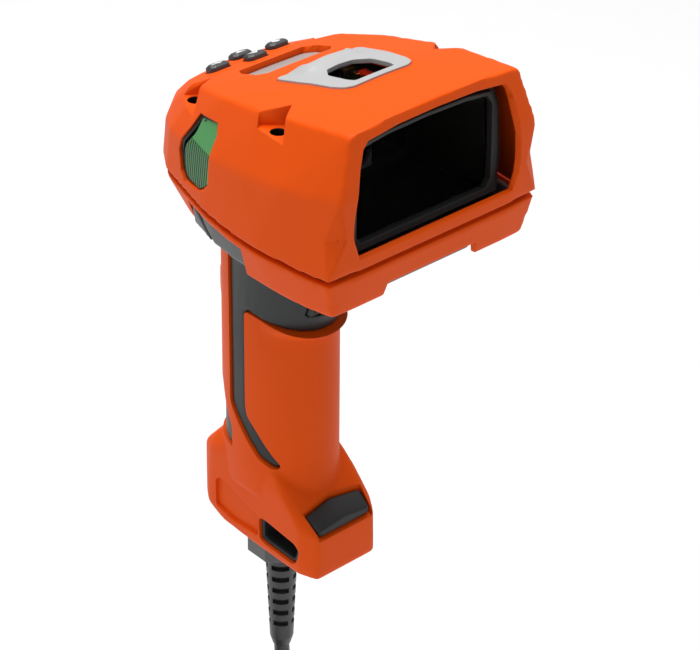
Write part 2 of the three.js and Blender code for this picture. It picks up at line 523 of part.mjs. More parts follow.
let shell = shellSolid;
for (const cut of [coreRoom, frontTopCut, rearTopCut, stripeCut]) shell = shell.subtract(cut);
for (const cut of [footRoom, ...flankRecess, strapHole, padPocket]) shell = shell.subtract(cut);
const FOOT_SCREW = { x: 10.4, y: 17, radius: 1.8 };
for (const x of [-FOOT_SCREW.x, FOOT_SCREW.x]) {
  shell = shell.subtract(bar([x, FOOT_SCREW.y, -60], [x, FOOT_SCREW.y, -53.6], FOOT_SCREW.radius + GAP, 14));
}
add('handle_shell', shell, 'orange');
add('foot_pad', padBody, 'black');

// A black sleeve lines the strap slot from one flank to the other.
const sleeveSpan = FOOT_HALF - 0.5;
add('strap_sleeve', prism(offset(STRAP_SLOT, -GAP).reverse(), 'x', -sleeveSpan, sleeveSpan)
  .subtract(prism(offset(STRAP_SLOT, -1.7).reverse(), 'x', -40, 40)), 'black');
for (const [index, x] of [-FOOT_SCREW.x, FOOT_SCREW.x].entries()) {
  const head = bar([x, FOOT_SCREW.y, -55.2], [x, FOOT_SCREW.y, -53.9], FOOT_SCREW.radius, 14);
  add(`foot_screw_${index + 1}`, head, 'steel');
}

// ---------------------------------------------------------------- housing screws
const screwNames = ['front', 'rear'];
POCKETS.forEach(({ floor, screw }, index) => {
  for (const [side, name] of [[-1, 'left'], [1, 'right']]) {
    const [x, y] = [side * screw[0], screw[1]];
    const seat = floor - SCREW_SUNK;
    const socket = bar([x, y, seat + 0.6], [x, y, seat + 3], 1.0, 6);
    const head = bar([x, y, seat], [x, y, seat + 1.5], SCREW_HEAD_R, 16);
    const shank = bar([x, y, floor - SCREW_REACH], [x, y, seat + 0.1], 1.2, 10);
    add(`housing_screw_${screwNames[index]}_${name}`, head.add(shank).subtract(socket), 'steel');
  }
});

// ---------------------------------------------------------------- trigger
const triggerOutline = [
  [-15.6, 71.0], [-15.6, 60], [-17.4, 44], [-18.6, 41.8], [-24.4, 41.6], [-26.4, 43.4], [-25.2, 50],
  [-25.8, 57], [-28.6, 65], [-29.6, 70.8],
];
const triggerBody = prism(triggerOutline, 'x', -TRIGGER_HALF, TRIGGER_HALF)
  .subtract(alongPin(14, PIN.radius + GAP));
add('trigger', triggerBody, 'black');
add('trigger_pin', alongPin(13.2, PIN.radius), 'steel');

// ---------------------------------------------------------------- gland, boot, cable
const NUT_R = 12.2;
const NUT_BOTTOM_Z = -66.3;
const nutPlan = (radius) => Array.from({ length: 8 }, (_, i) => {
  const turn = ((i + 0.5) / 8) * 2 * Math.PI;
  return [radius * Math.cos(turn), radius * Math.sin(turn)];
});
const nut = hull([
  ...nutPlan(NUT_R - 0.6).flatMap(([x, y]) => [v(x, y, FOOT_BOTTOM_Z - GAP), v(x, y, NUT_BOTTOM_Z)]),
  ...nutPlan(NUT_R).flatMap(([x, y]) => [v(x, y, FOOT_BOTTOM_Z - GAP - 0.6), v(x, y, NUT_BOTTOM_Z + 0.6)]),
]).add(bar([0, 0, -58], [0, 0, -50.5], 6.0, 20)).subtract(bar([0, 0, -80], [0, 0, -40], 3.2, 20));
add('gland_nut', nut, 'darkGrey');

const BOOT_TOP_R = 5.8;
const BOOT_END_R = 4.2;
const bootRadius = (z) => BOOT_TOP_R + ((BOOT_TOP_Z - z) / (BOOT_TOP_Z - BOOT_END_Z)) * (BOOT_END_R - BOOT_TOP_R);
let boot = bar([0, 0, BOOT_TOP_Z], [0, 0, BOOT_END_Z], bootRadius(BOOT_TOP_Z), 24, bootRadius(BOOT_END_Z))
  .add(bar([0, 0, BOOT_END_Z], [0, 0, BOOT_END_Z - 3.4], BOOT_END_R, 24, CORD_D / 2 + 0.5))
  .subtract(bar([0, 0, -120], [0, 0, -60], 0.6, 8));
const BOOT_SLOTS = 6;
for (let i = 0; i < BOOT_SLOTS; i += 1) {
  const z = -73.1 - i * 5;
  const half = bootRadius(z) * 0.56;
  const inner = bootRadius(z) * 0.55;
  for (const turn of [45, 135, 225, 315]) {
    boot = boot.subtract(block([-half, inner, z - 1.1], [half, 12, z + 1.1]).rotate([0, 0, turn]));
  }
}
add('strain_relief', boot, 'cable');

// The cable drops straight out of the boot and drifts forward to the hank's front layer.
const hankRadius = HANK_FOLD / 2 + CORD_D;            // centre line of the outer turns
const hankHalf = hankRadius + CORD_D / 2;
const hankThick = (HANK_LAYERS * CORD_D) / 2;
const HANK_X = -hankRadius;                           // so that the cable drops into a straight run
const hankArcTop = HANK_TOP_Z - hankHalf;
const hankArcBottom = hankArcTop - HANK_RUN;
const CORD_ROUTE = [
  [0, 0, BOOT_END_Z - 3.7], [0, 0, -112], [0, -0.6, -116], [0, -2.1, -120.5], [0, -4.2, -125.5],
  [0, -6.3, -130.5],
];
const cordPath = new THREE.CatmullRomCurve3(CORD_ROUTE.map((p) => v(...p)));
const cordSection = new THREE.Shape(Array.from({ length: 10 }, (_, i) => (
  new THREE.Vector2(CORD_D / 2 * Math.cos(i * Math.PI / 5), CORD_D / 2 * Math.sin(i * Math.PI / 5)))));
const cordShape = { steps: 6, extrudePath: cordPath, bevelEnabled: false };
add('cord', new THREE.ExtrudeGeometry(cordSection, cordShape), 'cable');

// The stored length, folded flat into a hank: one solid with the hank's outer shape.
const ARC_STEPS = 12;
const endArc = (middleZ, start) => Array.from({ length: ARC_STEPS + 1 }, (_, i) => {
  const turn = start + (i / ARC_STEPS) * Math.PI;
  return [HANK_X + hankHalf * Math.cos(turn), middleZ + hankHalf * Math.sin(turn)];
});
const cordRoom = block([-3.3, -10.2, -131.8], [4, 4, -100]);
add('cord_hank', prism([...endArc(hankArcTop, 0), ...endArc(hankArcBottom, Math.PI)], 'y', -hankThick, hankThick)
  .subtract(cordRoom), 'cable');

const TIE_Z = -228;
const tieRing = (grow, halfHeight) => block([HANK_X - hankHalf - grow, -hankThick - grow, TIE_Z - halfHeight],
  [HANK_X + hankHalf + grow, hankThick + grow, TIE_Z + halfHeight]);
add('cord_tie', tieRing(GAP + 1.4, 5).subtract(tieRing(GAP, 9)), 'black');

// The plug lies on the front of the hank, over its inner run.
const plugX = HANK_X + HANK_FOLD / 2;
const plugY = -(hankThick + GAP + 4);
const PLUG_TOP_Z = -186;
const plugGrip = block([plugX - 7.4, plugY - 4, PLUG_TOP_Z - 22], [plugX + 7.4, plugY + 4, PLUG_TOP_Z]);
const plugNeck = bar([plugX, plugY, PLUG_TOP_Z - 1], [plugX, plugY, PLUG_TOP_Z + 8], 3.9, 16, 3.3);
add('plug_body', plugGrip.add(plugNeck), 'black');
const plugLow = [plugX - 6, plugY - 2.25, PLUG_TOP_Z - 34.3];
add('plug_shell', block(plugLow, [plugX + 6, plugY + 2.25, PLUG_TOP_Z - 22.3]), 'steel');

// ---------------------------------------------------------------- inside the handle and foot
add('cable_connector', block([-7, -6, -46.5], [7, 6, -40]), 'lightGrey');
add('trigger_switch', block([-4, -14.2, 52], [4, -9.8, 60]), 'black');

export default object;
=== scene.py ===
"""Visual model of a corded pistol-grip code reader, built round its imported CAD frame.

The head, grip and foot are moulded shells with soft edges. The roof carries a keypad, a display and a
sight window, the flanks carry green status lamps, and a cable leaves the foot through a slotted boot.
Lengths in this file are millimetres until `metres` turns them into Blender's units.
"""

import logging
import math
from dataclasses import dataclass, field
from enum import Enum
from typing import Iterable, Sequence

import bmesh
import bpy
from mathutils import Matrix, Vector
from mathutils.bvhtree import BVHTree


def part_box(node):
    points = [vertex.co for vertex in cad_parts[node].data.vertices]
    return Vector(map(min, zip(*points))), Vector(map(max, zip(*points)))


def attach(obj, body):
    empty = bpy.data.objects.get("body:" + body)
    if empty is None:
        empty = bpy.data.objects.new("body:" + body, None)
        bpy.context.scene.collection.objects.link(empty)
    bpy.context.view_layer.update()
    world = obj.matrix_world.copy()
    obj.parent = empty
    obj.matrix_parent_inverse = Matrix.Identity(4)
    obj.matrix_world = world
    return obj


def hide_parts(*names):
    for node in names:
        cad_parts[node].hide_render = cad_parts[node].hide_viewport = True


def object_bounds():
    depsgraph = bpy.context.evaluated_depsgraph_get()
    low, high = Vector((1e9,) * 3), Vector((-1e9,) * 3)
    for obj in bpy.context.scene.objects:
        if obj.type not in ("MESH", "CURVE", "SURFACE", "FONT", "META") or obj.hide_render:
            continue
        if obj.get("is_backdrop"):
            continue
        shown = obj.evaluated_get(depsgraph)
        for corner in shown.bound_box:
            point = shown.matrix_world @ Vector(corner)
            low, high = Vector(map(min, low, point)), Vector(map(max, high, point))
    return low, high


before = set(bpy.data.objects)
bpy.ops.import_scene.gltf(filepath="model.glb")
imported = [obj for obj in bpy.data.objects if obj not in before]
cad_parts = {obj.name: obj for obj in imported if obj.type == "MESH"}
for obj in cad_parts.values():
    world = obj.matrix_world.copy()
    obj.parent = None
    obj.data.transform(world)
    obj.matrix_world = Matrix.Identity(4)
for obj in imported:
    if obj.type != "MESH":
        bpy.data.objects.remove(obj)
CAD_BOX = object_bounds()

log = logging.getLogger("code_reader")

Piece = bpy.types.Object
Material = bpy.types.Material
Point = Sequence[float]
Outline = Sequence[tuple[float, float]]
Line = Sequence[tuple[float, float, float]]

BODY = "reader"
MM = 0.001


class Axis(Enum):
    """The direction in which an outline is pushed to make a prism."""

    X = "x"
    Z = "z"


class Cut(Enum):
    """What a boolean does with its tool."""

    REMOVE = "DIFFERENCE"
    KEEP = "INTERSECT"


# ------------------------------ meshes


def metres(point: Point) -> Vector:
    """A point in millimetres as a vector in metres."""
    return Vector(point) * MM


def both_sides(points: Iterable[Point]) -> list[tuple[float, float, float]]:
    """The points and their mirror images across the YZ plane."""
    return [(side * x, y, z) for x, y, z in points for side in (-1, 1)]


def closed(half: Outline) -> list[tuple[float, float]]:
    """A half outline, given for x >= 0, closed by its mirror image."""
    return [*half, *((-x, y) for x, y in reversed(half) if x > 0)]


def ease(share: float) -> float:
    """A share of the way from 0 to 1, eased at both ends and held there."""
    share = min(1.0, max(0.0, share))
    return share * share * (3 - 2 * share)


def box_mm(node: str) -> tuple[Vector, Vector]:
    """The lowest and highest corners of a CAD node, in millimetres."""
    low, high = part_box(node)
    return low / MM, high / MM


def linked(name: str, data: bpy.types.ID) -> Piece:
    """A new object in the scene that shows some data."""
    obj = bpy.data.objects.new(name, data)
    bpy.context.scene.collection.objects.link(obj)
    return obj


def place(bm: bmesh.types.BMesh, name: str) -> Piece:
    """Turns a bmesh into a linked object at the origin.

    Args:
        bm: The mesh, which is freed.
        name: The object's name.

    Returns:
        The new object.
    """
    bmesh.ops.recalc_face_normals(bm, faces=bm.faces)
    mesh = bpy.data.meshes.new(name)
    bm.to_mesh(mesh)
    bm.free()
    return linked(name, mesh)


def hull(points: Iterable[Point], name: str) -> Piece:
    """The convex hull of some points, with its coplanar faces merged."""
    bm = bmesh.new()
    for point in points:
        bm.verts.new(metres(point))
    wrap(bm)
    return place(bm, name)


def wrap(bm: bmesh.types.BMesh) -> None:
    """Replaces what a bmesh holds by its convex hull."""
    made = bmesh.ops.convex_hull(bm, input=bm.verts[:])
    kept = {item for item in made["geom"] if isinstance(item, bmesh.types.BMFace)}
    bmesh.ops.delete(bm, geom=[face for face in bm.faces if face not in kept], context="FACES_ONLY")
    loose = [vert for vert in bm.verts if not vert.link_faces]
    bmesh.ops.delete(bm, geom=loose, context="VERTS")
    bmesh.ops.dissolve_limit(bm, angle_limit=math.radians(1.5), verts=bm.verts[:], edges=bm.edges[:])


def prism(outline: Outline, axis: Axis, low: float, high: float, name: str,
          corner: float = 0.0) -> Piece:
    """An outline pushed along an axis.

    Args:
        outline: Corners on the plane across the axis: (y, z) for X, (x, y) for Z.
        axis: The axis to push along.
        low: Where the prism starts on the axis.
        high: Where it ends.
        name: The object's name.
        corner: Radius given to the outline's corners.

    Returns:
        The new object.
    """
    along_x = axis is Axis.X
    length = (high - low) * MM
    shift = Vector((length, 0, 0)) if along_x else Vector((0, 0, length))
    bm = bmesh.new()
    base = [bm.verts.new(metres((low, a, b) if along_x else (a, b, low))) for a, b in outline]
    pushed = bmesh.ops.extrude_face_region(bm, geom=[bm.faces.new(base)])
    moved = [item for item in pushed["geom"] if isinstance(item, bmesh.types.BMVert)]
    bmesh.ops.translate(bm, verts=moved, vec=shift)
    if corner:
        bevel(bm, [edge for edge in bm.edges if runs_along(edge, shift)], corner, 4)
    return place(bm, name)


def runs_along(edge: bmesh.types.BMEdge, shift: Vector) -> bool:
    """Whether an edge has the length and the direction of a shift, either way round."""
    span = edge.verts[0].co - edge.verts[1].co
    same_length = abs(span.length - shift.length) < 1e-6
    return same_length and abs(span.normalized().dot(shift.normalized())) > 0.999


def bevel(bm: bmesh.types.BMesh, edges: Iterable[bmesh.types.BMEdge], width: float, segments: int) -> None:
    """Rounds some edges of a bmesh to a width in millimetres."""
    bmesh.ops.bevel(
        bm, geom=list(edges), offset=width * MM, offset_type="OFFSET", segments=segments,
        profile=0.5, affect="EDGES", clamp_overlap=True, material=-1,
    )


def block(low: Point, high: Point, name: str, soft: float = 0.0) -> Piece:
    """A box between two corners, with its edges rounded by `soft`."""
    bm = bmesh.new()
    bmesh.ops.create_cube(bm, size=1.0)
    size = metres(high) - metres(low)
    middle = (metres(high) + metres(low)) / 2
    bmesh.ops.scale(bm, vec=size, verts=bm.verts[:])
    bmesh.ops.translate(bm, vec=middle, verts=bm.verts[:])
    if soft:
        bevel(bm, bm.edges[:], soft, 3)
    return place(bm, name)


def rod(start: Point, end: Point, radius: float, name: str, end_radius: float | None = None,
        sides: int = 32, soft: float = 0.0) -> Piece:
    """A round bar or cone between two points.

    Args:
        start: Middle of its first end.
        end: Middle of its last end.
        radius: Radius at the start.
        name: The object's name.
        end_radius: Radius at the end, the same if left out.
        sides: Number of sides.
        soft: Radius given to the rims of both ends.

    Returns:
        The new object.
    """
    a, b = metres(start), metres(end)
    last = radius if end_radius is None else end_radius
    bm = bmesh.new()
    bmesh.ops.create_cone(
        bm, cap_ends=True, segments=sides, radius1=radius * MM, radius2=last * MM, depth=(b - a).length)
    turn = (b - a).to_track_quat("Z", "Y").to_matrix().to_4x4()
    bmesh.ops.transform(bm, matrix=Matrix.Translation((a + b) / 2) @ turn, verts=bm.verts[:])
    if soft:
        rims = [edge for edge in bm.edges if len(edge.link_faces) == 2
                and max(len(face.verts) for face in edge.link_faces) == sides]
        bevel(bm, rims, soft, 3)
    return place(bm, name)


def oval(levels: Iterable[tuple[float, float, float, float]], name: str, sides: int = 72) -> Piece:
    """The hull of level ovals: (z, half width, half depth, middle y) for each."""
    step = 2 * math.pi / sides
    turns = [i * step for i in range(sides)]
    points = [(a * math.cos(t), y + b * math.sin(t), z) for z, a, b, y in levels for t in turns]
    return hull(points, name)


def settle(obj: Piece) -> Piece:
    """Applies an object's modifiers to its mesh."""
    bpy.context.view_layer.update()
    graph = bpy.context.evaluated_depsgraph_get()
    mesh = bpy.data.meshes.new_from_object(obj.evaluated_get(graph))
    obj.modifiers.clear()
    old = obj.data
    obj.data = mesh
    bpy.data.meshes.remove(old)
    return obj


def carve(base: Piece, tool: Piece, cut: Cut) -> Piece:
    """Cuts one object with another, or keeps what they share; the tool is used up."""
    step = base.modifiers.new("carve", "BOOLEAN")
    step.object = tool
    step.operation = cut.value
    step.solver = "EXACT"
    settle(base)
    discard(tool)
    return base


def discard(obj: Piece) -> None:
    """Removes an object that was only a tool."""
    mesh = obj.data
    bpy.data.objects.remove(obj)
    bpy.data.meshes.remove(mesh)


def join(name: str, parts: Sequence[Piece]) -> Piece:
    """Gathers separate objects into one mesh, without cutting them."""
    bm = bmesh.new()
    for part in parts:
        bm.from_mesh(part.data)
        discard(part)
    return place(bm, name)


def copy_of(node: str, name: str) -> Piece:
    """A merged copy of a CAD node's mesh, under a new name."""
    bm = bmesh.new()
    bm.from_mesh(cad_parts[node].data)
    bmesh.ops.remove_doubles(bm, verts=bm.verts[:], dist=1e-6)
    bmesh.ops.dissolve_limit(bm, angle_limit=math.radians(0.5), verts=bm.verts[:], edges=bm.edges[:])
    mesh = bpy.data.meshes.new(name)
    bm.to_mesh(mesh)
    bm.free()
    return linked(name, mesh)


def hull_of(node: str, name: str) -> Piece:
    """The convex hull of a CAD node."""
    bm = bmesh.new()
    bm.from_mesh(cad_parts[node].data)
    wrap(bm)
    return place(bm, name)


def soften(obj: Piece, radius: float, grain: float, rounds: int, inset: float) -> Piece:
    """Rounds a form all over, as a moulding tool's corners are.

    Args:
        obj: A closed form, or several that pass through each other.
        radius: Radius first given to its sharp edges; 0 leaves them.
        grain: Size of the even mesh that it gets.
        rounds: How many rounds of smoothing.
        inset: How far its surface is then drawn in.

    Returns:
        The same object.
    """
    if radius:
        bm = bmesh.new()
        bm.from_mesh(obj.data)
        sharp = [edge for edge in bm.edges if edge.is_manifold and edge.calc_face_angle() > math.radians(14)]
        bevel(bm, sharp, radius, 4)
        bm.to_mesh(obj.data)
        bm.free()
    remesh = obj.modifiers.new("even", "REMESH")
    remesh.mode = "VOXEL"
    remesh.voxel_size = grain * MM
    smooth = obj.modifiers.new("smooth", "SMOOTH")
    smooth.factor = 0.5
    smooth.iterations = rounds
    if inset:
        draw_in = obj.modifiers.new("draw_in", "DISPLACE")
        draw_in.mid_level = 0.0
        draw_in.strength = -inset * MM
    return settle(obj)


def drawn_in(form: Piece, depth: float) -> Piece:
    """A copy of a form with its surface drawn in by a depth."""
    inner = linked("drawn_in", form.data.copy())
    step = inner.modifiers.new("draw_in", "DISPLACE")
    step.mid_level = 0.0
    step.strength = -depth * MM
    return settle(inner)


def shade(obj: Piece, crease: float = 32.0) -> Piece:
    """Smooth shading, sharp where faces meet at more than `crease` degrees."""
    obj.data.shade_smooth()
    obj.data.set_sharp_from_angle(angle=math.radians(crease))
    return obj


def round_edges(obj: Piece, width: float, segments: int = 3,
                limit: float = 30.0) -> Piece:
    """A bevel modifier on an object's sharp edges, with even shading after it."""
    soft = obj.modifiers.new("edges", "BEVEL")
    soft.width = width * MM
    soft.segments = segments
    soft.limit_method = "ANGLE"
    soft.angle_limit = math.radians(limit)
    soft.use_clamp_overlap = True
    soft.harden_normals = False
    settle(obj)
    shade(obj, 40)
    even = obj.modifiers.new("normals", "WEIGHTED_NORMAL")
    even.keep_sharp = True
    return obj


def install(obj: Piece, material: Material, slot: str, *nodes: str,
            body: str = BODY) -> None:
    """Dresses a finished piece and fixes it to its body.

    Args:
        obj: The piece.
        material: Its finish.
        slot: The record's material slot for that finish; not used.
        nodes: The CAD nodes that it stands for.
        body: The body that it moves with.
    """
    obj.data.materials.clear()
    obj.data.materials.append(material)
    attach(obj, body)
    if nodes:
        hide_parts(*nodes)
    log.info("%s: %d faces", obj.name, len(obj.data.polygons) if obj.type == "MESH" else 0)


# ------------------------------ finishes


def linear(code: str, alpha: float = 1.0) -> tuple[float, float, float, float]:
    """An sRGB hex colour as linear RGBA."""
    def channel(value: float) -> float:
        return value / 12.92 if value <= 0.04045 else ((value + 0.055) / 1.055) ** 2.4

    r, g, b = (channel(int(code[i:i + 2], 16) / 255) for i in (0, 2, 4))
    return (r, g, b, alpha)


def add_node(tree: bpy.types.NodeTree, kind: str, settings: dict | None = None, links: dict | None = None,
             values: dict | None = None) -> bpy.types.Node:
    """Adds a shader node.

    Args:
        tree: The material's tree.
        kind: The node's type name.
        settings: Attributes to set on it.
        links: Input name or number to the output socket that feeds it.
        values: Input name or number to a constant.

    Returns:
        The new node.
    """
    node = tree.nodes.new(kind)
    for key, value in (settings or {}).items():
        setattr(node, key, value)
    for key, value in (values or {}).items():
        node.inputs[key].default_value = value
    for key, socket in (links or {}).items():
        tree.links.new(socket, node.inputs[key])
    return node


def blank(name: str) -> tuple[Material, bpy.types.NodeTree, bpy.types.Node]:
    """A new material, its node tree and its Principled shader."""
    material = bpy.data.materials.new(name)
    material.use_nodes = True
    tree = material.node_tree
    return material, tree, tree.nodes["Principled BSDF"]


def drift_gloss(tree: bpy.types.NodeTree, shader: bpy.types.Node, noise: dict[str, float], low: float,
                high: float) -> tuple[bpy.types.NodeSocket, bpy.types.NodeSocket]:
    """Makes a shader's roughness drift over the surface.

    Args:
        tree: The material's tree.
        shader: Its shader.
        noise: Values for the noise that the roughness follows.
        low: Roughness where the noise is lowest.
        high: Roughness where it is highest.

    Returns:
        The surface's own coordinates and the noise.
    """
    where = add_node(tree, "ShaderNodeTexCoord").outputs["Object"]
    drift = add_node(tree, "ShaderNodeTexNoise", links={"Vector": where}, values=noise).outputs["Fac"]
    gloss = add_node(tree, "ShaderNodeMapRange", links={"Value": drift},
                     values={"To Min": low, "To Max": high})
    tree.links.new(gloss.outputs["Result"], shader.inputs["Roughness"])
    return where, drift


@dataclass(frozen=True)
class MouldedPlastic:
    """Injection-moulded plastic with a fine spark-eroded texture.

    The texture breaks the highlight into a soft sheen, handling polishes it unevenly, and every
    edge has the small radius that a steel tool leaves.
    """

    name: str
    colour: str
    worn: str
    roughness: float
    texture_mm: float = 0.35
    texture_depth_mm: float = 0.012
    edge_mm: float = 0.45
    specular: float = 0.5

    def build(self) -> Material:
        """Makes the material."""
        material, tree, shader = blank(self.name)
        noise = {"Scale": 1 / (28 * MM), "Detail": 3.0, "Roughness": 0.55}
        where, drift = drift_gloss(tree, shader, noise, self.roughness - 0.05, self.roughness + 0.05)
        tint = add_node(tree, "ShaderNodeMix", {"data_type": "RGBA"}, {0: drift},
                        {6: linear(self.colour), 7: linear(self.worn)})
        tree.links.new(tint.outputs[2], shader.inputs["Base Color"])
        grain = add_node(tree, "ShaderNodeTexNoise", links={"Vector": where},
                         values={"Scale": 1 / (self.texture_mm * MM), "Detail": 2.0})
        edge = add_node(tree, "ShaderNodeBevel", {"samples": 6}, values={"Radius": self.edge_mm * MM})
        bump = add_node(tree, "ShaderNodeBump",
                        links={"Height": grain.outputs["Fac"], "Normal": edge.outputs["Normal"]},
                        values={"Strength": 0.35, "Distance": self.texture_depth_mm * MM})
        tree.links.new(bump.outputs["Normal"], shader.inputs["Normal"])
        shader.inputs["IOR"].default_value = 1.53
        shader.inputs["Specular IOR Level"].default_value = self.specular
        return material


@dataclass(frozen=True)
class ClearPlastic:
    """A clear or tinted window, polished on both faces and faintly smeared by cleaning."""

    name: str
    colour: str
    roughness: float
    ior: float
    specular: float

    def build(self) -> Material:
        """Makes the material."""
        material, tree, shader = blank(self.name)
        smear = {"Scale": 1 / (9 * MM), "Detail": 2.0}
        drift_gloss(tree, shader, smear, self.roughness, self.roughness + 0.05)
        shader.inputs["Base Color"].default_value = linear(self.colour)
        shader.inputs["Transmission Weight"].default_value = 1.0
        shader.inputs["IOR"].default_value = self.ior
        shader.inputs["Specular IOR Level"].default_value = self.specular
        return material


@dataclass(frozen=True)
class Metal:
    """Plated or blackened steel, turned or stamped, with faint machining marks."""

    name: str
    colour: str
    roughness: float

    def build(self) -> Material:
        """Makes the material."""
        material, tree, shader = blank(self.name)
        marks = {"Scale": 1 / (0.5 * MM), "Detail": 4.0}
        drift_gloss(tree, shader, marks, self.roughness - 0.06, self.roughness + 0.08)
        edge = add_node(tree, "ShaderNodeBevel", {"samples": 4}, values={"Radius": 0.2 * MM})
        tree.links.new(edge.outputs["Normal"], shader.inputs["Normal"])
        shader.inputs["Base Color"].default_value = linear(self.colour)
        shader.inputs["Metallic"].default_value = 1.0
        return material


@dataclass(frozen=True)
class CircuitBoard:
    """Glass-epoxy board: green solder mask over copper tracks that show as paler lines."""

    name: str
    mask: str
    track: str
    pitch_mm: float = 1.6
    track_mm: float = 0.12
    run_rows: float = 3.1

    def build(self) -> Material:
        """Makes the material."""
        material, tree, shader = blank(self.name)
        where = add_node(tree, "ShaderNodeTexCoord").outputs["Object"]
        row = self.pitch_mm * MM
        tracks = add_node(tree, "ShaderNodeTexBrick", {"offset": 0.37}, {"Vector": where}, {
            "Scale": 1.0, "Mortar Size": self.track_mm * MM, "Brick Width": self.run_rows * row,
            "Row Height": row, "Color1": linear(self.mask), "Color2": linear(self.mask),
            "Mortar": linear(self.track),
        })
        tree.links.new(tracks.outputs["Color"], shader.inputs["Base Color"])
        shader.inputs["Roughness"].default_value = 0.35
        return material


@dataclass
class Palette:
    """Every finish on the object, built once."""

    made: dict[str, Material] = field(default_factory=dict)

    def build(self) -> "Palette":
        """Makes all the materials."""
        finishes = (
            # Orange ABS and polycarbonate blend, moulded with a fine texture: an even, saturated satin.
            MouldedPlastic("orange_abs_moulded", "F05604", "EA5202", 0.52, specular=0.12),
            # Dark grey glass-filled nylon of the under housing and the gland: satin, slightly chalky.
            MouldedPlastic("grey_nylon_moulded", "55585A", "4D4F51", 0.42, texture_mm=0.4),
            # Black ABS of the handle core, the trigger and the lamp frames: a deep satin.
            MouldedPlastic("black_abs_moulded", "232526", "1D1F20", 0.42, specular=0.35),
            # Baffle plastic inside the head, darkened to a dead black as painted shade where little light
            # reaches; the same black is laid as painted shade on the walls of the sight opening and the screw
            # wells, and only catches light on its edges.
            MouldedPlastic("baffle_and_painted_shade_black", "151516", "111112", 0.55, texture_mm=0.5,
                           texture_depth_mm=0.02, edge_mm=0.3, specular=0.3),
            # Pale grey painted ABS of the roof bezel: smooth, with a soft sheen.
            MouldedPlastic("pale_abs_painted", "B6B6B6", "B0B0B0", 0.38, texture_mm=0.3,
                           texture_depth_mm=0.006, specular=0.3),
            # Charcoal ABS of the key caps: fine-grained, with tight edges.
            MouldedPlastic("charcoal_abs_keycap", "3A3C3E", "323436", 0.4, texture_mm=0.3,
                           texture_depth_mm=0.008, edge_mm=0.35),
            # White ink of the key icons, pad-printed in a thin film.
            MouldedPlastic("white_ink_printed", "E6E6E6", "DADADA", 0.5, texture_mm=0.2,
                           texture_depth_mm=0.004, edge_mm=0.05),
            # Thermoplastic rubber of the foot pad, the gasket and the slot sleeve: matte and dark.
            MouldedPlastic("black_rubber_moulded", "2B2C2D", "232425", 0.55, texture_mm=0.45,
                           texture_depth_mm=0.02, edge_mm=0.6, specular=0.4),
            # Vinyl cable jacket and its overmoulded boot: satin charcoal with a drawn grain.
            MouldedPlastic("charcoal_vinyl_extruded", "38393A", "303132", 0.4, texture_mm=0.5,
                           texture_depth_mm=0.01, edge_mm=0.3),
            # Green diffusing acrylic of the lamp lenses: smooth and lightly glossy.
            MouldedPlastic("green_acrylic_moulded", "549E5C", "4D9455", 0.22, texture_mm=0.6,
                           texture_depth_mm=0.004, edge_mm=0.2, specular=0.3),
            # The same acrylic in the hollows of the flutes, where little light comes back.
            MouldedPlastic("shaded_green_acrylic", "2E4A33", "27402C", 0.3, texture_mm=0.6,
                           texture_depth_mm=0.004, edge_mm=0.15),
            # Display: a pale grey reflective liquid-crystal layer under its cover.
            MouldedPlastic("display_layer_printed", "A9ACAA", "9EA19F", 0.25, texture_mm=0.8,
                           texture_depth_mm=0.002, edge_mm=0.1),
            # Reading window in clear polycarbonate, coated so that it neither bends nor mirrors light.
            ClearPlastic("clear_window_coated", "FFFFFF", roughness=0.0, ior=1.02, specular=0.1),
            # Thin amber-dyed filter film over the sight opening, coated in the same way.
            ClearPlastic("amber_filter_polished", "B07A3A", roughness=0.0, ior=1.02, specular=0.2),
            # Nickel-plated steel of the plug's shell and the sight screw: bright, with fine marks.
            Metal("nickel_plated_steel", "C9CACC", 0.22),
            # Black-oxide screws, sunk deep in their wells.
            Metal("black_oxide_steel", "26272A", 0.4),
            # Glass-epoxy boards under a green solder mask.
            CircuitBoard("green_circuit_board", "17603A", "3F9A5E"),
            # The lamp boards carry a black mask, so that they throw nothing back at the camera.
            CircuitBoard("black_circuit_board", "0C0D0D", "161818"),
        )
        for finish in finishes:
            self.made[finish.name] = finish.build()
        return self

    def __getitem__(self, name: str) -> Material:
        """The material of that name."""
        return self.made[name]


# ------------------------------ studio


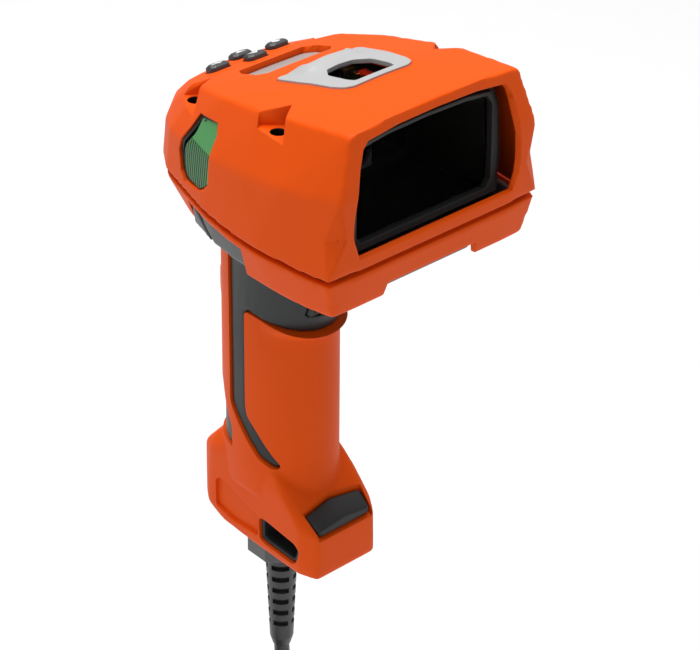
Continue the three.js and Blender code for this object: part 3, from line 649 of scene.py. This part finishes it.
@dataclass
class Studio:
    """Camera, soft lights and a pale floor."""

    azimuth: float = -42.26
    elevation: float = 32.28
    roll: float = 0.756
    distance: float = 866.67
    lens: float = 133.7
    aside: float = -23.07
    above: float = -20.0
    floor_drop: float = 6.0
    room_light: float = 0.4

    def build(self) -> None:
        """Sets up the camera, the lights and the floor."""
        # Plain display colours, so that saturated orange and white paper keep their values.
        bpy.context.scene.view_settings.view_transform = "Standard"
        self.camera()
        self.lights()
        self.floor()

    def camera(self) -> None:
        """The camera, turned about the grip and then moved sideways in its own plane."""
        a, e, r = (math.radians(v) for v in (self.azimuth, self.elevation, self.roll))
        back = Vector((math.sin(a) * math.cos(e), -math.cos(a) * math.cos(e), math.sin(e)))
        right = Vector((math.cos(a), math.sin(a), 0))
        up = back.cross(right)
        level = Matrix((right, up, back)).transposed()
        turned = level @ Matrix.Rotation(r, 3, "Z")
        data = bpy.data.cameras.new("camera")
        data.lens = self.lens
        data.sensor_width = 36.0
        data.clip_start = 0.01
        data.clip_end = 20.0
        camera = linked("camera", data)
        spot = back * self.distance - turned.col[0] * self.aside - turned.col[1] * self.above
        camera.matrix_world = Matrix.Translation(spot * MM) @ turned.to_4x4()
        bpy.context.scene.camera = camera

    def lights(self) -> None:
        """A white room and one broad light overhead."""
        world = bpy.data.worlds.new("studio")
        world.use_nodes = True
        world.node_tree.nodes["Background"].inputs["Color"].default_value = (1, 1, 1, 1)
        world.node_tree.nodes["Background"].inputs["Strength"].default_value = self.room_light
        bpy.context.scene.world = world
        for name, spot, size, power in (
            ("overhead", (0.15, 0.35, 2.2), 1.8, 61.0),
            ("left_fill", (-1.7, -0.1, 0.6), 1.2, 2.0),
        ):
            data = bpy.data.lights.new(name, "AREA")
            data.shape = "SQUARE"
            data.size = size
            data.energy = power
            lamp = linked(name, data)
            lamp.location = spot
            lamp.rotation_euler = (-Vector(spot)).to_track_quat("-Z", "Y").to_euler()

    def floor(self) -> None:
        """A pale floor under the lowest piece."""
        bm = bmesh.new()
        bmesh.ops.create_grid(bm, x_segments=1, y_segments=1, size=6.0)
        bmesh.ops.translate(bm, verts=bm.verts[:], vec=Vector((0, 0, CAD_BOX[0].z - self.floor_drop * MM)))
        floor = place(bm, "floor")
        material, tree, shader = blank("studio_paper_matte")
        where = add_node(tree, "ShaderNodeTexCoord").outputs["Object"]
        fibre = add_node(tree, "ShaderNodeTexNoise", links={"Vector": where},
                         values={"Scale": 40.0, "Detail": 3.0})
        tone = add_node(tree, "ShaderNodeMix", {"data_type": "RGBA"}, {0: fibre.outputs["Fac"]},
                        {6: linear("ECECEC"), 7: linear("EAEAEA")})
        tree.links.new(tone.outputs[2], shader.inputs["Base Color"])
        shader.inputs["Roughness"].default_value = 0.9
        floor.data.materials.append(material)
        floor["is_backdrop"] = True


# ------------------------------ cable


@dataclass
class Cable:
    """The data cable: it drops from the boot and is folded into a flat hank, with its plug in front."""

    diameter: float = 5.5
    length: float = 2.13
    hank_top: float = -122.4
    layers: int = 4
    fold_diameters: int = 6
    run_diameters: int = 16
    plug_top: float = -178.0
    plug_y: float = -15.3
    route: Line = (
        (0, 0, -109.3), (0, 0, -112), (0, -0.6, -116), (0, -2.1, -120.5), (0, -4.2, -125.5),
        (0, -6.3, -130.5),
    )
    lead_in: Line = ((0, -7.7, -135.5), (0, -8.25, -141))

    def build(self, palette: Palette) -> None:
        curve = bpy.data.curves.new("data_cable", "CURVE")
        curve.dimensions = "3D"
        curve.bevel_depth = self.diameter / 2 * MM
        curve.bevel_resolution = 4
        curve.resolution_u = 6
        curve.use_fill_caps = True
        points = self.points()
        spline = curve.splines.new("NURBS")
        spline.points.add(len(points) - 1)
        for knot, point in zip(spline.points, points):
            knot.co = (*metres(point), 1.0)
        spline.order_u = 3
        spline.use_endpoint_u = True
        cable = linked("data_cable", curve)
        curve.materials.append(palette["charcoal_vinyl_extruded"])
        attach(cable, BODY)
        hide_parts("cord", "cord_hank")
        plug = self.plug(palette)
        tie = self.tie(palette)

    def points(self) -> Line:
        """The cable's centre line, from the boot to the plug."""
        inner = self.fold_diameters * self.diameter / 2
        outer = inner + self.diameter
        middle_x = -outer
        top = self.hank_top - outer - self.diameter / 2
        bottom = top - self.run_diameters * self.diameter
        layer = [self.diameter * (i - (self.layers - 1) / 2) for i in range(self.layers)]
        visits = [(outer, outer, y) for y in layer[:-1]] + [(outer, inner, layer[-1])]
        visits += [(inner, inner, y) for y in reversed(layer[:-1])]
        ends = [visit[2] for visit in visits[1:]] + [self.plug_y]
        found = [*self.route, *self.lead_in]
        for (down, up, y), next_y in zip(visits, ends):
            found += self.turn(middle_x, down, up, y, next_y, top, bottom)
        plug_x = middle_x + inner
        drop = ((self.plug_y + 1.2, top - 6), (self.plug_y, top - 14), (self.plug_y, self.plug_top))
        return found + [(plug_x, y, z) for y, z in drop]

    def turn(self, middle_x: float, down: float, up: float, y: float, next_y: float,
             top: float, bottom: float) -> Line:
        """One turn of the hank.

        Args:
            middle_x: Where the hank's middle is.
            down: Radius of the run going down.
            up: Radius of the run coming up.
            y: The layer it lies in.
            next_y: The layer that its top arc leads to.
            top: Height of the upper arcs' centres.
            bottom: Height of the lower arcs' centres.

        Returns:
            Points along the turn.
        """
        steps, stops = 10, 5
        run = top - bottom
        found = [(middle_x + down, y, top - run * i / stops) for i in range(stops)]
        for i in range(steps):
            angle = math.pi * i / steps
            radius = down + (up - down) * ease(i / steps)
            found.append((middle_x + radius * math.cos(angle), y, bottom - radius * math.sin(angle)))
        found += [(middle_x - up, y, bottom + run * i / stops) for i in range(stops)]
        for i in range(steps):
            angle = math.pi * i / steps
            shift = (next_y - y) * ease(i / steps)
            found.append((middle_x - up * math.cos(angle), y + shift, top + up * math.sin(angle)))
        return found

    def plug(self, palette: Palette) -> list[Piece]:
        """The plug's moulded grip, with finger ribs, and its metal shell."""
        low, high = box_mm("plug_body")
        neck_z = high.z - 8
        grip = block((low.x, low.y, low.z), (high.x, high.y, neck_z), "plug_grip", 1.6)
        middle = ((low.x + high.x) / 2, (low.y + high.y) / 2)
        neck = rod((*middle, neck_z - 1), (*middle, high.z), 3.9, "plug_neck", 3.3, soft=0.5)
        ribs = []
        for i in range(5):
            foot, crest = low.z + 4 + 3 * i, low.z + 5.2 + 3 * i
            for x in (low.x - 0.1, high.x - 0.9):
                ribs.append(block((x, low.y + 0.7, foot), (x + 1.0, high.y - 0.7, crest), "rib", 0.3))
        body = join("plug_overmould", [grip, neck, *ribs])
        shade(body)
        install(body, palette["black_abs_moulded"], "black_plastic", "plug_body")
        low, high = box_mm("plug_shell")
        shell = block(low, high, "plug_metal_shell", 0.4)
        wall = Vector((0.4, 0.4, 0))
        bore = block(low + wall - Vector((0, 0, 1)), high - wall - Vector((0, 0, 1.5)), "bore")
        carve(shell, bore, Cut.REMOVE)
        for x in (low.x + 3.2, high.x - 5.4):
            latch = block((x, low.y - 1, low.z + 4.5), (x + 2.2, high.y + 1, low.z + 6.7), "latch")
            carve(shell, latch, Cut.REMOVE)
        tip, root = (low.x + 1, low.y + 0.6, low.z + 0.5), (high.x - 1, low.y + 2.2, high.z - 1)
        tongue = block(tip, root, "plug_tongue")
        install(shade(shell), palette["nickel_plated_steel"], "steel", "plug_shell")
        install(shade(tongue), palette["black_abs_moulded"], "black_plastic")
        return [body, shell, tongue]

    def tie(self, palette: Palette) -> Piece:
        """A strap with rounded corners round the hank."""
        low, high = box_mm("cord_tie")
        strap = block(low, high, "hank_tie", 1.2)
        wall = Vector((1.4, 1.4, -5))
        carve(strap, block(low + wall, high - wall, "room"), Cut.REMOVE)
        install(shade(strap), palette["black_rubber_moulded"], "black_plastic", "cord_tie")
        return strap


# ------------------------------ head


@dataclass
class Head:
    """The head: orange upper housing and bumper over a grey pan."""

    crease_radius: float = 3.2
    even_mesh: float = 0.95
    smoothing: int = 5
    inset: float = 0.22
    envelope: Piece | None = None

    def build(self, palette: Palette) -> None:
        """Makes the head's shells."""
        orange = palette["orange_abs_moulded"]
        for node, name, radius in (
            ("upper_housing", "head_shell", self.crease_radius),
            ("lower_bumper", "head_bumper", 2.2),
        ):
            form = soften(hull_of(node, f"{name}_form"), radius, self.even_mesh, self.smoothing, self.inset)
            if self.envelope is None:
                self.envelope = form
                form = linked("tool", form.data.copy())
            shell = carve(copy_of(node, name), form, Cut.KEEP)
            install(shade(shell, 30), orange, "orange_shell", node)
        for node, name in (("under_housing", "head_pan_front"), ("rear_cover", "head_pan_rear")):
            pan = shade(soften(copy_of(node, name), 0.0, 0.6, 8, 0.0), 60)
            install(pan, palette["grey_nylon_moulded"], "grey_shell", node)

    def roof(self) -> BVHTree:
        """The head's smooth outer surface, for laying things on it."""
        graph = bpy.context.evaluated_depsgraph_get()
        return BVHTree.FromObject(self.envelope, graph)


@dataclass
class RoofDetails:
    """Bezel, sight window and display on the roof."""

    bezel: Outline = (
        (0, -21.4), (7.5, -21.8), (11.2, -18.6), (15.4, -17.4), (16.8, -18.6), (16.4, -29),
        (15.0, -41), (13.6, -44.8), (10.8, -46.4), (0, -46.6),
    )
    sight: Outline = (
        (0, -27.2), (5.2, -27.8), (8.7, -32.4), (8.6, -40.5), (7.8, -43.4), (0, -43.6),
    )
    # Outlines of a thin dead-black wall round the sight opening: painted shade on the opening's sides.
    shade_wall_outside: Outline = (
        (0, -24.8), (6.4, -25.6), (9.4, -31.4), (8.8, -40.4), (7.8, -43.4), (0, -43.6),
    )
    shade_wall_inside: Outline = (
        (0, -25.3), (6.1, -26.0), (8.9, -31.5), (8.3, -40.2), (7.4, -42.9), (0, -43.1),
    )
    shade_wall_bottom: float = 122.4
    shade_wall_top: float = 127.2
    arch_height: float = 2.0
    stand: float = 0.55
    plate: float = 1.5

    def build(self, palette: Palette, roof: BVHTree) -> None:
        """Makes the pieces on the roof."""
        self.frame(palette, roof)
        self.sight_pieces(palette)
        self.display(palette)

    def frame(self, palette: Palette, roof: BVHTree) -> None:
        """The pale bezel: a plate that follows the roof, with an arched bar at its rear."""
        plate = prism(closed(self.bezel), Axis.Z, 0.0, self.plate, "roof_bezel", 1.0)
        carve(plate, prism(closed(self.sight), Axis.Z, -5, 5, "hole", 0.8), Cut.REMOVE)
        bm = bmesh.new()
        bm.from_mesh(plate.data)
        for i in range(1, 17):
            for axis, start, pitch in ((Vector((1, 0, 0)), -17, 2.0), (Vector((0, 1, 0)), -47, 1.8)):
                bmesh.ops.bisect_plane(bm, geom=bm.verts[:] + bm.edges[:] + bm.faces[:],
                                       plane_co=axis * (start + pitch * i) * MM, plane_no=axis)
        sky = 0.2
        for vert in bm.verts:
            hit = roof.ray_cast(Vector((vert.co.x, vert.co.y, sky)), Vector((0, 0, -1)))[0]
            lift = self.lift(vert.co.x / MM, vert.co.y / MM)
            vert.co.z += hit.z + (self.stand - self.plate + lift) * MM
        bm.to_mesh(plate.data)
        bm.free()
        round_edges(plate, 0.4, 3, 40)
        install(plate, palette["pale_abs_painted"], "light_grey_plastic", "top_bezel")

    def lift(self, x: float, y: float) -> float:
        """How far the bezel's rear bar arches over the roof at a place, in millimetres."""
        return self.arch_height * ease((12.5 - abs(x)) / 4) * ease((y + 27.5) / 4)

    def sight_pieces(self, palette: Palette) -> None:
        """What shows through the sight window: filter, board, a thin black wall painted as shade on the
        opening's sides, hood, bar and screw.
        """
        # Painted shade: a thin dead-black wall lining the sight opening's sides.
        shade_wall = prism(closed(self.shade_wall_outside), Axis.Z, self.shade_wall_bottom, self.shade_wall_top, "sight_wall_shade")
        carve(shade_wall, prism(closed(self.shade_wall_inside), Axis.Z, 110, 140, "bore"), Cut.REMOVE)
        install(shade(shade_wall), palette["baffle_and_painted_shade_black"], "black_plastic")
        hood = block((1.0, -29.0, 124.0), (8.2, -25.6, 127.2), "sight_hood", 1.2)
        install(shade(hood), palette["black_abs_moulded"], "black_plastic")
        bar = block((4.6, -36.2, 125.0), (8.0, -30.4, 126.6), "sight_bar", 0.4)
        install(shade(bar), palette["orange_abs_moulded"], "orange_shell")
        glass = shade(copy_of("sight_window", "sight_filter"), 25)
        install(glass, palette["amber_filter_polished"], "amber_glass", "sight_window")
        board = round_edges(copy_of("sight_board", "sight_circuit"), 0.15, 2)
        install(board, palette["green_circuit_board"], "circuit_board", "sight_board")
        low, high = box_mm("sight_screw")
        x, y = (low.x + high.x) / 2, (low.y + high.y) / 2
        head = rod((x, y, low.z), (x, y, high.z), 1.5, "sight_screw_head", soft=0.3)
        slit = block((x - 2, y - 0.2, high.z - 0.35), (x + 2, y + 0.2, 200), "slit")
        carve(head, slit, Cut.REMOVE)
        install(shade(head), palette["nickel_plated_steel"], "steel", "sight_screw")

    def display(self, palette: Palette) -> None:
        """The display's cover, under which its layer shows."""
        cover = shade(copy_of("display_glass", "display_cover"), 25)
        install(cover, palette["display_layer_printed"], "display_glass", "display_glass")


class Icon(Enum):
    """Generic marks on the key caps."""

    UP = "up"
    DOWN = "down"
    BACK = "back"
    ENTER = "enter"


@dataclass
class Keypad:
    """Four sprung keys on the tilted rear deck."""

    tilt: float = math.atan(0.35)
    dot_radius: float = 1.4
    dot_sides: int = 24
    icon_thick: float = 0.12
    keys: tuple[tuple[str, Icon], ...] = (
        ("key_left", Icon.BACK), ("key_rear", Icon.UP), ("key_front", Icon.DOWN), ("key_right", Icon.ENTER),
    )

    def build(self, palette: Palette) -> None:
        """Makes the caps and their icons."""
        for node, icon in self.keys:
            cap = round_edges(copy_of(node, f"{node}_cap"), 0.16, 2, 20)
            install(cap, palette["charcoal_abs_keycap"], "key_plastic", node, body=node)
            mark = self.mark(node, icon)
            install(mark, palette["white_ink_printed"], "key_plastic", body=node)

    def mark(self, node: str, icon: Icon) -> Piece:
        """One icon, laid on its cap's top face."""
        turns = [2 * math.pi * i / self.dot_sides for i in range(self.dot_sides)]
        outlines: dict[Icon, Outline] = {
            Icon.UP: ((-2.1, -1.0), (2.1, -1.0), (0, 1.3)),
            Icon.DOWN: ((-2.1, 1.0), (0, -1.3), (2.1, 1.0)),
            Icon.BACK: ((-2.3, -0.4), (0, -0.4), (0, -1.3), (2.3, 0), (0, 1.3), (0, 0.4), (-2.3, 0.4)),
            Icon.ENTER: [(self.dot_radius * math.cos(t), self.dot_radius * math.sin(t)) for t in turns],
        }
        mark = prism(outlines[icon], Axis.Z, 0, self.icon_thick, f"{node}_icon")
        normal = Vector((0, math.sin(self.tilt), math.cos(self.tilt)))
        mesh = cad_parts[node].data
        top = max(vert.co.dot(normal) for vert in mesh.vertices)
        low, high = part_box(node)
        middle = (low + high) / 2
        middle += normal * (top - middle.dot(normal) - 0.02 * MM)
        mark.data.transform(Matrix.Translation(middle) @ Matrix.Rotation(-self.tilt, 4, "X"))
        return shade(mark)


@dataclass
class StatusWindows:
    """The green lamp windows in the flanks: a black frame, whose black also stands as painted shade on the
    recess wall, a lens and its flutes.
    """

    outline: Outline = (
        (-4.6, 113.9), (-13.9, 116.1), (-15.4, 113.4), (-15.0, 107.3), (-15.6, 98.5), (-13.5, 96.3),
        (-10.2, 94.4), (-2.4, 94.4), (-0.4, 96.0), (0.9, 100.9), (0.1, 104.1), (-3.4, 109.0),
    )
    depth: float = 0.6
    thick: float = 1.0
    rib_pitch: float = 1.3
    rib_width: float = 0.5
    rib_top: float = 107.0
    rib_bottom: float = 93.0
    rib_first: float = -14.2
    rib_last: float = 1.8

    def build(self, palette: Palette, envelope: Piece) -> None:
        """Makes both windows.

        Args:
            palette: The finishes.
            envelope: The head's outer form, which the lenses follow.
        """
        for name, side in (("left", -1), ("right", 1)):
            # The frame's black is partly painted shade of the window recess wall beside the lens.
            rim = round_edges(copy_of(f"status_frame_{name}", f"lamp_frame_and_shade_{name}"), 0.2, 2)
            install(rim, palette["black_abs_moulded"], "black_plastic", f"status_frame_{name}")
            lens = self.sheet(envelope, side, self.depth, f"lamp_lens_{name}")
            ribs = self.sheet(envelope, side, self.depth - 0.15, f"lamp_flutes_{name}")
            carve(ribs, self.comb(side), Cut.KEEP)
            install(shade(lens, 25), palette["green_acrylic_moulded"], "green_lens", f"status_lens_{name}")
            install(shade(ribs), palette["shaded_green_acrylic"], "green_lens")

    def sheet(self, envelope: Piece, side: int, depth: float, name: str) -> Piece:
        """A lens-shaped sheet that lies a set depth under the head's surface on one side."""
        low, high = sorted((side * 24.0, side * 60.0))
        lens = prism(self.outline, Axis.X, low, high, name, 0.8)
        carve(lens, drawn_in(envelope, depth), Cut.KEEP)
        return carve(lens, drawn_in(envelope, depth + self.thick), Cut.REMOVE)

    def comb(self, side: int) -> Piece:
        """Upright bars that cut a lens sheet into flutes."""
        low, high = sorted((side * 24.0, side * 48.0))
        bars = []
        y = self.rib_first
        while y < self.rib_last:
            bars.append(block((low, y, self.rib_bottom), (high, y + self.rib_width, self.rib_top), "bar"))
            y += self.rib_pitch
        return join("comb", bars)


@dataclass
class ReadingWindow:
    """What stands in the hood: gasket, window, baffle, camera and lamps."""

    pieces: tuple[tuple[str, str, str, str], ...] = (
        ("window_gasket", "hood_gasket", "black_rubber_moulded", "soft_rubber"),
        ("window_glass", "hood_window", "clear_window_coated", "clear_glass"),
        ("illumination_chamber", "light_baffle", "baffle_and_painted_shade_black", "black_plastic"),
        ("camera_housing", "camera_block", "grey_nylon_moulded", "grey_shell"),
        ("lens_barrel", "camera_barrel", "black_abs_moulded", "black_plastic"),
        ("lens_glass", "camera_lens", "clear_window_coated", "clear_glass"),
        ("led_board_left", "lamp_board_left", "black_circuit_board", "circuit_board"),
        ("led_board_right", "lamp_board_right", "black_circuit_board", "circuit_board"),
        ("main_board", "processor_board", "green_circuit_board", "circuit_board"),
        ("image_sensor", "image_sensor_chip", "black_abs_moulded", "black_plastic"),
        ("beeper", "buzzer", "black_abs_moulded", "black_plastic"),
    )

    def build(self, palette: Palette) -> None:
        """Dresses copies of the CAD pieces."""
        for node, name, finish, slot in self.pieces:
            piece = round_edges(copy_of(node, name), 0.3, 2)
            install(piece, palette[finish], slot, node)


# ------------------------------ handle


@dataclass
class Handle:
    """The grip and the foot: an orange shell over a black core."""

    half_x: float = 17.0
    half_y: float = 21.5
    skin: float = 2.4
    foot_half: float = 15.2
    stripe: Outline = (
        (6.6, 90), (6.6, -2), (5.3, -3.9), (-7.2, -18.6), (-11.6, -21.2), (-14.2, -20.8), (-14.9, -19.2),
        (-12.6, -16.4), (-6.7, -8), (-2.6, -3.2), (-1.9, 0.5), (-1.9, 90),
    )
    heel: Outline = (
        (30, 6), (14, 1.5), (9.5, -7), (5.8, -12), (5.5, -20.5), (30, -20.5),
    )
    slot: Outline = (
        (-6.6, -43.7), (-6.9, -52.0), (-9.8, -52.9), (-24.0, -53.2), (-26.0, -51.6), (-27.4, -46.4),
        (-25.4, -44.2), (-9.4, -42.7),
    )
    recess: Outline = (
        (16.4, -39.9), (13.4, -37.8), (-6.2, -43.0), (-6.2, -51.6), (8, -52.6), (16.4, -50.8),
    )
    lip_z: float = 38.0
    lip_slope: float = 0.22
    voxel: float = 0.7
    smoothing: int = 7
    growth: float = 0.25

    def build(self, palette: Palette) -> None:
        """Makes the handle's pieces."""
        self.shell(palette)
        core = shade(soften(copy_of("handle_core", "grip_core"), 0.0, 0.6, 6, 0.0), 50)
        install(core, palette["black_abs_moulded"], "black_plastic", "handle_core")
        pad = round_edges(copy_of("foot_pad", "foot_bumper_pad"), 1.3, 4, 18)
        install(pad, palette["black_rubber_moulded"], "soft_rubber", "foot_pad")
        sleeve = round_edges(copy_of("strap_sleeve", "strap_slot_liner"), 0.4, 3)
        install(sleeve, palette["black_rubber_moulded"], "soft_rubber", "strap_sleeve")
        lever = round_edges(copy_of("trigger", "trigger_lever"), 1.1, 4, 18)
        install(lever, palette["black_abs_moulded"], "black_plastic", "trigger", body="trigger")

    def form(self) -> Piece:
        """The grip and foot as one soft form, before anything is cut out."""
        foot = self.foot_half
        corners = [
            (foot, 20.5, -51.5), (foot, 11, -55.9), (foot, -6, -56.4), (foot, -26, -56.4),
            (12.6, -33.3, -56.4), (foot, 19, -28), (foot, -16.2, -33.8), (foot, -27.3, -36.7),
            (12.2, -33.3, -39.3), (11.8, -27.4, -34.6), (9, -22, -31.5), (14.6, 12, -23.5), (12, 19, -23),
            (12.6, 24.6, -50), (12.6, 24.6, -29), (0, 26.4, -50), (0, 26.4, -28.5), (0, 24.5, -55),
            (12, 22, -55), (0, 22, -22.5), (0, -24.6, -33.0), (14.4, -12.4, -21),
            (foot + 0.4, -19.5, -29), (foot + 0.4, -27.3, -37.5), (foot + 0.4, -27, -52),
        ]
        base = soften(hull(both_sides(corners), "foot_form"), 3.0, self.voxel, 2, 0.0)
        wide, deep = self.half_x, self.half_y
        grip = oval(((-34, wide - 0.4, deep + 1.2, 0), (-24, wide, deep + 0.2, 0),
                     (-14, wide, deep, 0), (78, wide, deep, 0)), "grip_form", 96)
        lip = oval(((30.4, wide - 0.8, deep - 0.8, 0), (34, wide - 0.8, deep + 4.4, -2.1),
                    (42, wide - 0.8, deep + 4.4, -2.1)), "lip_form", 96)
        return soften(join("grip_shell", [base, grip, lip]), 0.0, self.voxel, self.smoothing, -self.growth)

    def shell(self, palette: Palette) -> None:
        """The orange shell, with the front panel, stripe, slot and recesses cut in it."""
        shell = self.form()
        slope = self.lip_slope
        front_top = [(-1.9, 35.9), (-3.0, 37.0), (-5.6, self.lip_z - slope * 5.6),
                     (-60, self.lip_z - slope * 60), (-60, 120), (-1.9, 120)]
        inner_x, inner_y = self.half_x - self.skin + 0.3, self.half_y - self.skin + 0.3
        carve(shell, oval(((-26.4, inner_x, inner_y, 0), (90, inner_x, inner_y, 0)), "core_room"), Cut.REMOVE)
        recess_x = self.foot_half - 0.9
        for outline, low, high, corner in (
            (front_top, -40, 40, 0.0), (self.stripe, -40, 40, 0.9), (self.heel, -40, 40, 1.0),
            (self.slot, -40, 40, 1.2), (self.recess, -40, -recess_x, 1.2), (self.recess, recess_x, 40, 1.2),
        ):
            carve(shell, prism(outline, Axis.X, low, high, "tool", corner), Cut.REMOVE)
        carve(shell, block((-60, -60, 75.6), (60, 60, 130), "tool"), Cut.REMOVE)
        corners = [(12.8, -25.8, -38.9), (11.6, -34.6, -40.9), (11.6, -34.6, -30), (12.8, -25.8, -30),
                   (0, -23.8, -38.9), (0, -23.8, -30)]
        carve(shell, hull(both_sides(corners), "tool"), Cut.REMOVE)
        install(shade(shell, 30), palette["orange_abs_moulded"], "orange_shell", "handle_shell")


@dataclass
class Fasteners:
    """Screws, pins and the other plain pieces, as dressed copies of the CAD."""

    steel: tuple[str, ...] = (
        "housing_screw_front_left", "housing_screw_front_right", "housing_screw_rear_left",
        "housing_screw_rear_right", "foot_screw_1", "foot_screw_2", "trigger_pin",
    )
    others: tuple[tuple[str, str, str], ...] = (
        ("key_mat", "black_rubber_moulded", "soft_rubber"),
        ("display_module", "black_abs_moulded", "black_plastic"),
        ("cable_connector", "pale_abs_painted", "light_grey_plastic"),
        ("trigger_switch", "black_abs_moulded", "black_plastic"),
    )

    def build(self, palette: Palette) -> None:
        """Dresses them."""
        for node in self.steel:
            screw = round_edges(copy_of(node, f"{node}_steel"), 0.25, 2)
            install(screw, palette["black_oxide_steel"], "steel", node)
            if node.startswith("housing"):
                self.well_shade(palette, node)
        for node, finish, slot in self.others:
            piece = round_edges(copy_of(node, f"{node}_piece"), 0.3, 2)
            install(piece, palette[finish], slot, node)

    def well_shade(self, palette: Palette, node: str) -> None:
        """A thin black sleeve in the well over a housing screw: painted shade on the well's wall."""
        low, high = box_mm(node)
        x, y = (low.x + high.x) / 2, (low.y + high.y) / 2
        seat, rim = high.z - 1.2, high.z + 2.5
        # Painted shade on the well's wall, as a dead-black sleeve.
        sleeve = rod((x, y, seat), (x, y, rim), 2.56, f"{node}_bushing")
        carve(sleeve, rod((x, y, seat - 1), (x, y, rim + 1), 2.38, "bore"), Cut.REMOVE)
        install(shade(sleeve), palette["baffle_and_painted_shade_black"], "black_plastic")


@dataclass
class Gland:
    """The cable gland's nut and its slotted boot."""

    def build(self, palette: Palette) -> None:
        """Makes the nut and the boot."""
        nut = round_edges(copy_of("gland_nut", "gland_hex_nut"), 0.5, 3)
        install(nut, palette["grey_nylon_moulded"], "grey_shell", "gland_nut")
        boot = shade(copy_of("strain_relief", "cable_boot"), 30)
        install(boot, palette["charcoal_vinyl_extruded"], "cable_jacket", "strain_relief")


def main() -> None:
    """Builds the whole reader and its studio."""
    logging.basicConfig(level=logging.INFO, format="%(name)s: %(message)s")
    palette = Palette().build()
    Studio().build()
    Cable().build(palette)
    head = Head()
    head.build(palette)
    RoofDetails().build(palette, head.roof())
    StatusWindows().build(palette, head.envelope)
    discard(head.envelope)
    Keypad().build(palette)
    ReadingWindow().build(palette)
    Handle().build(palette)
    Gland().build(palette)
    Fasteners().build(palette)


if __name__ == "__main__":
    main()
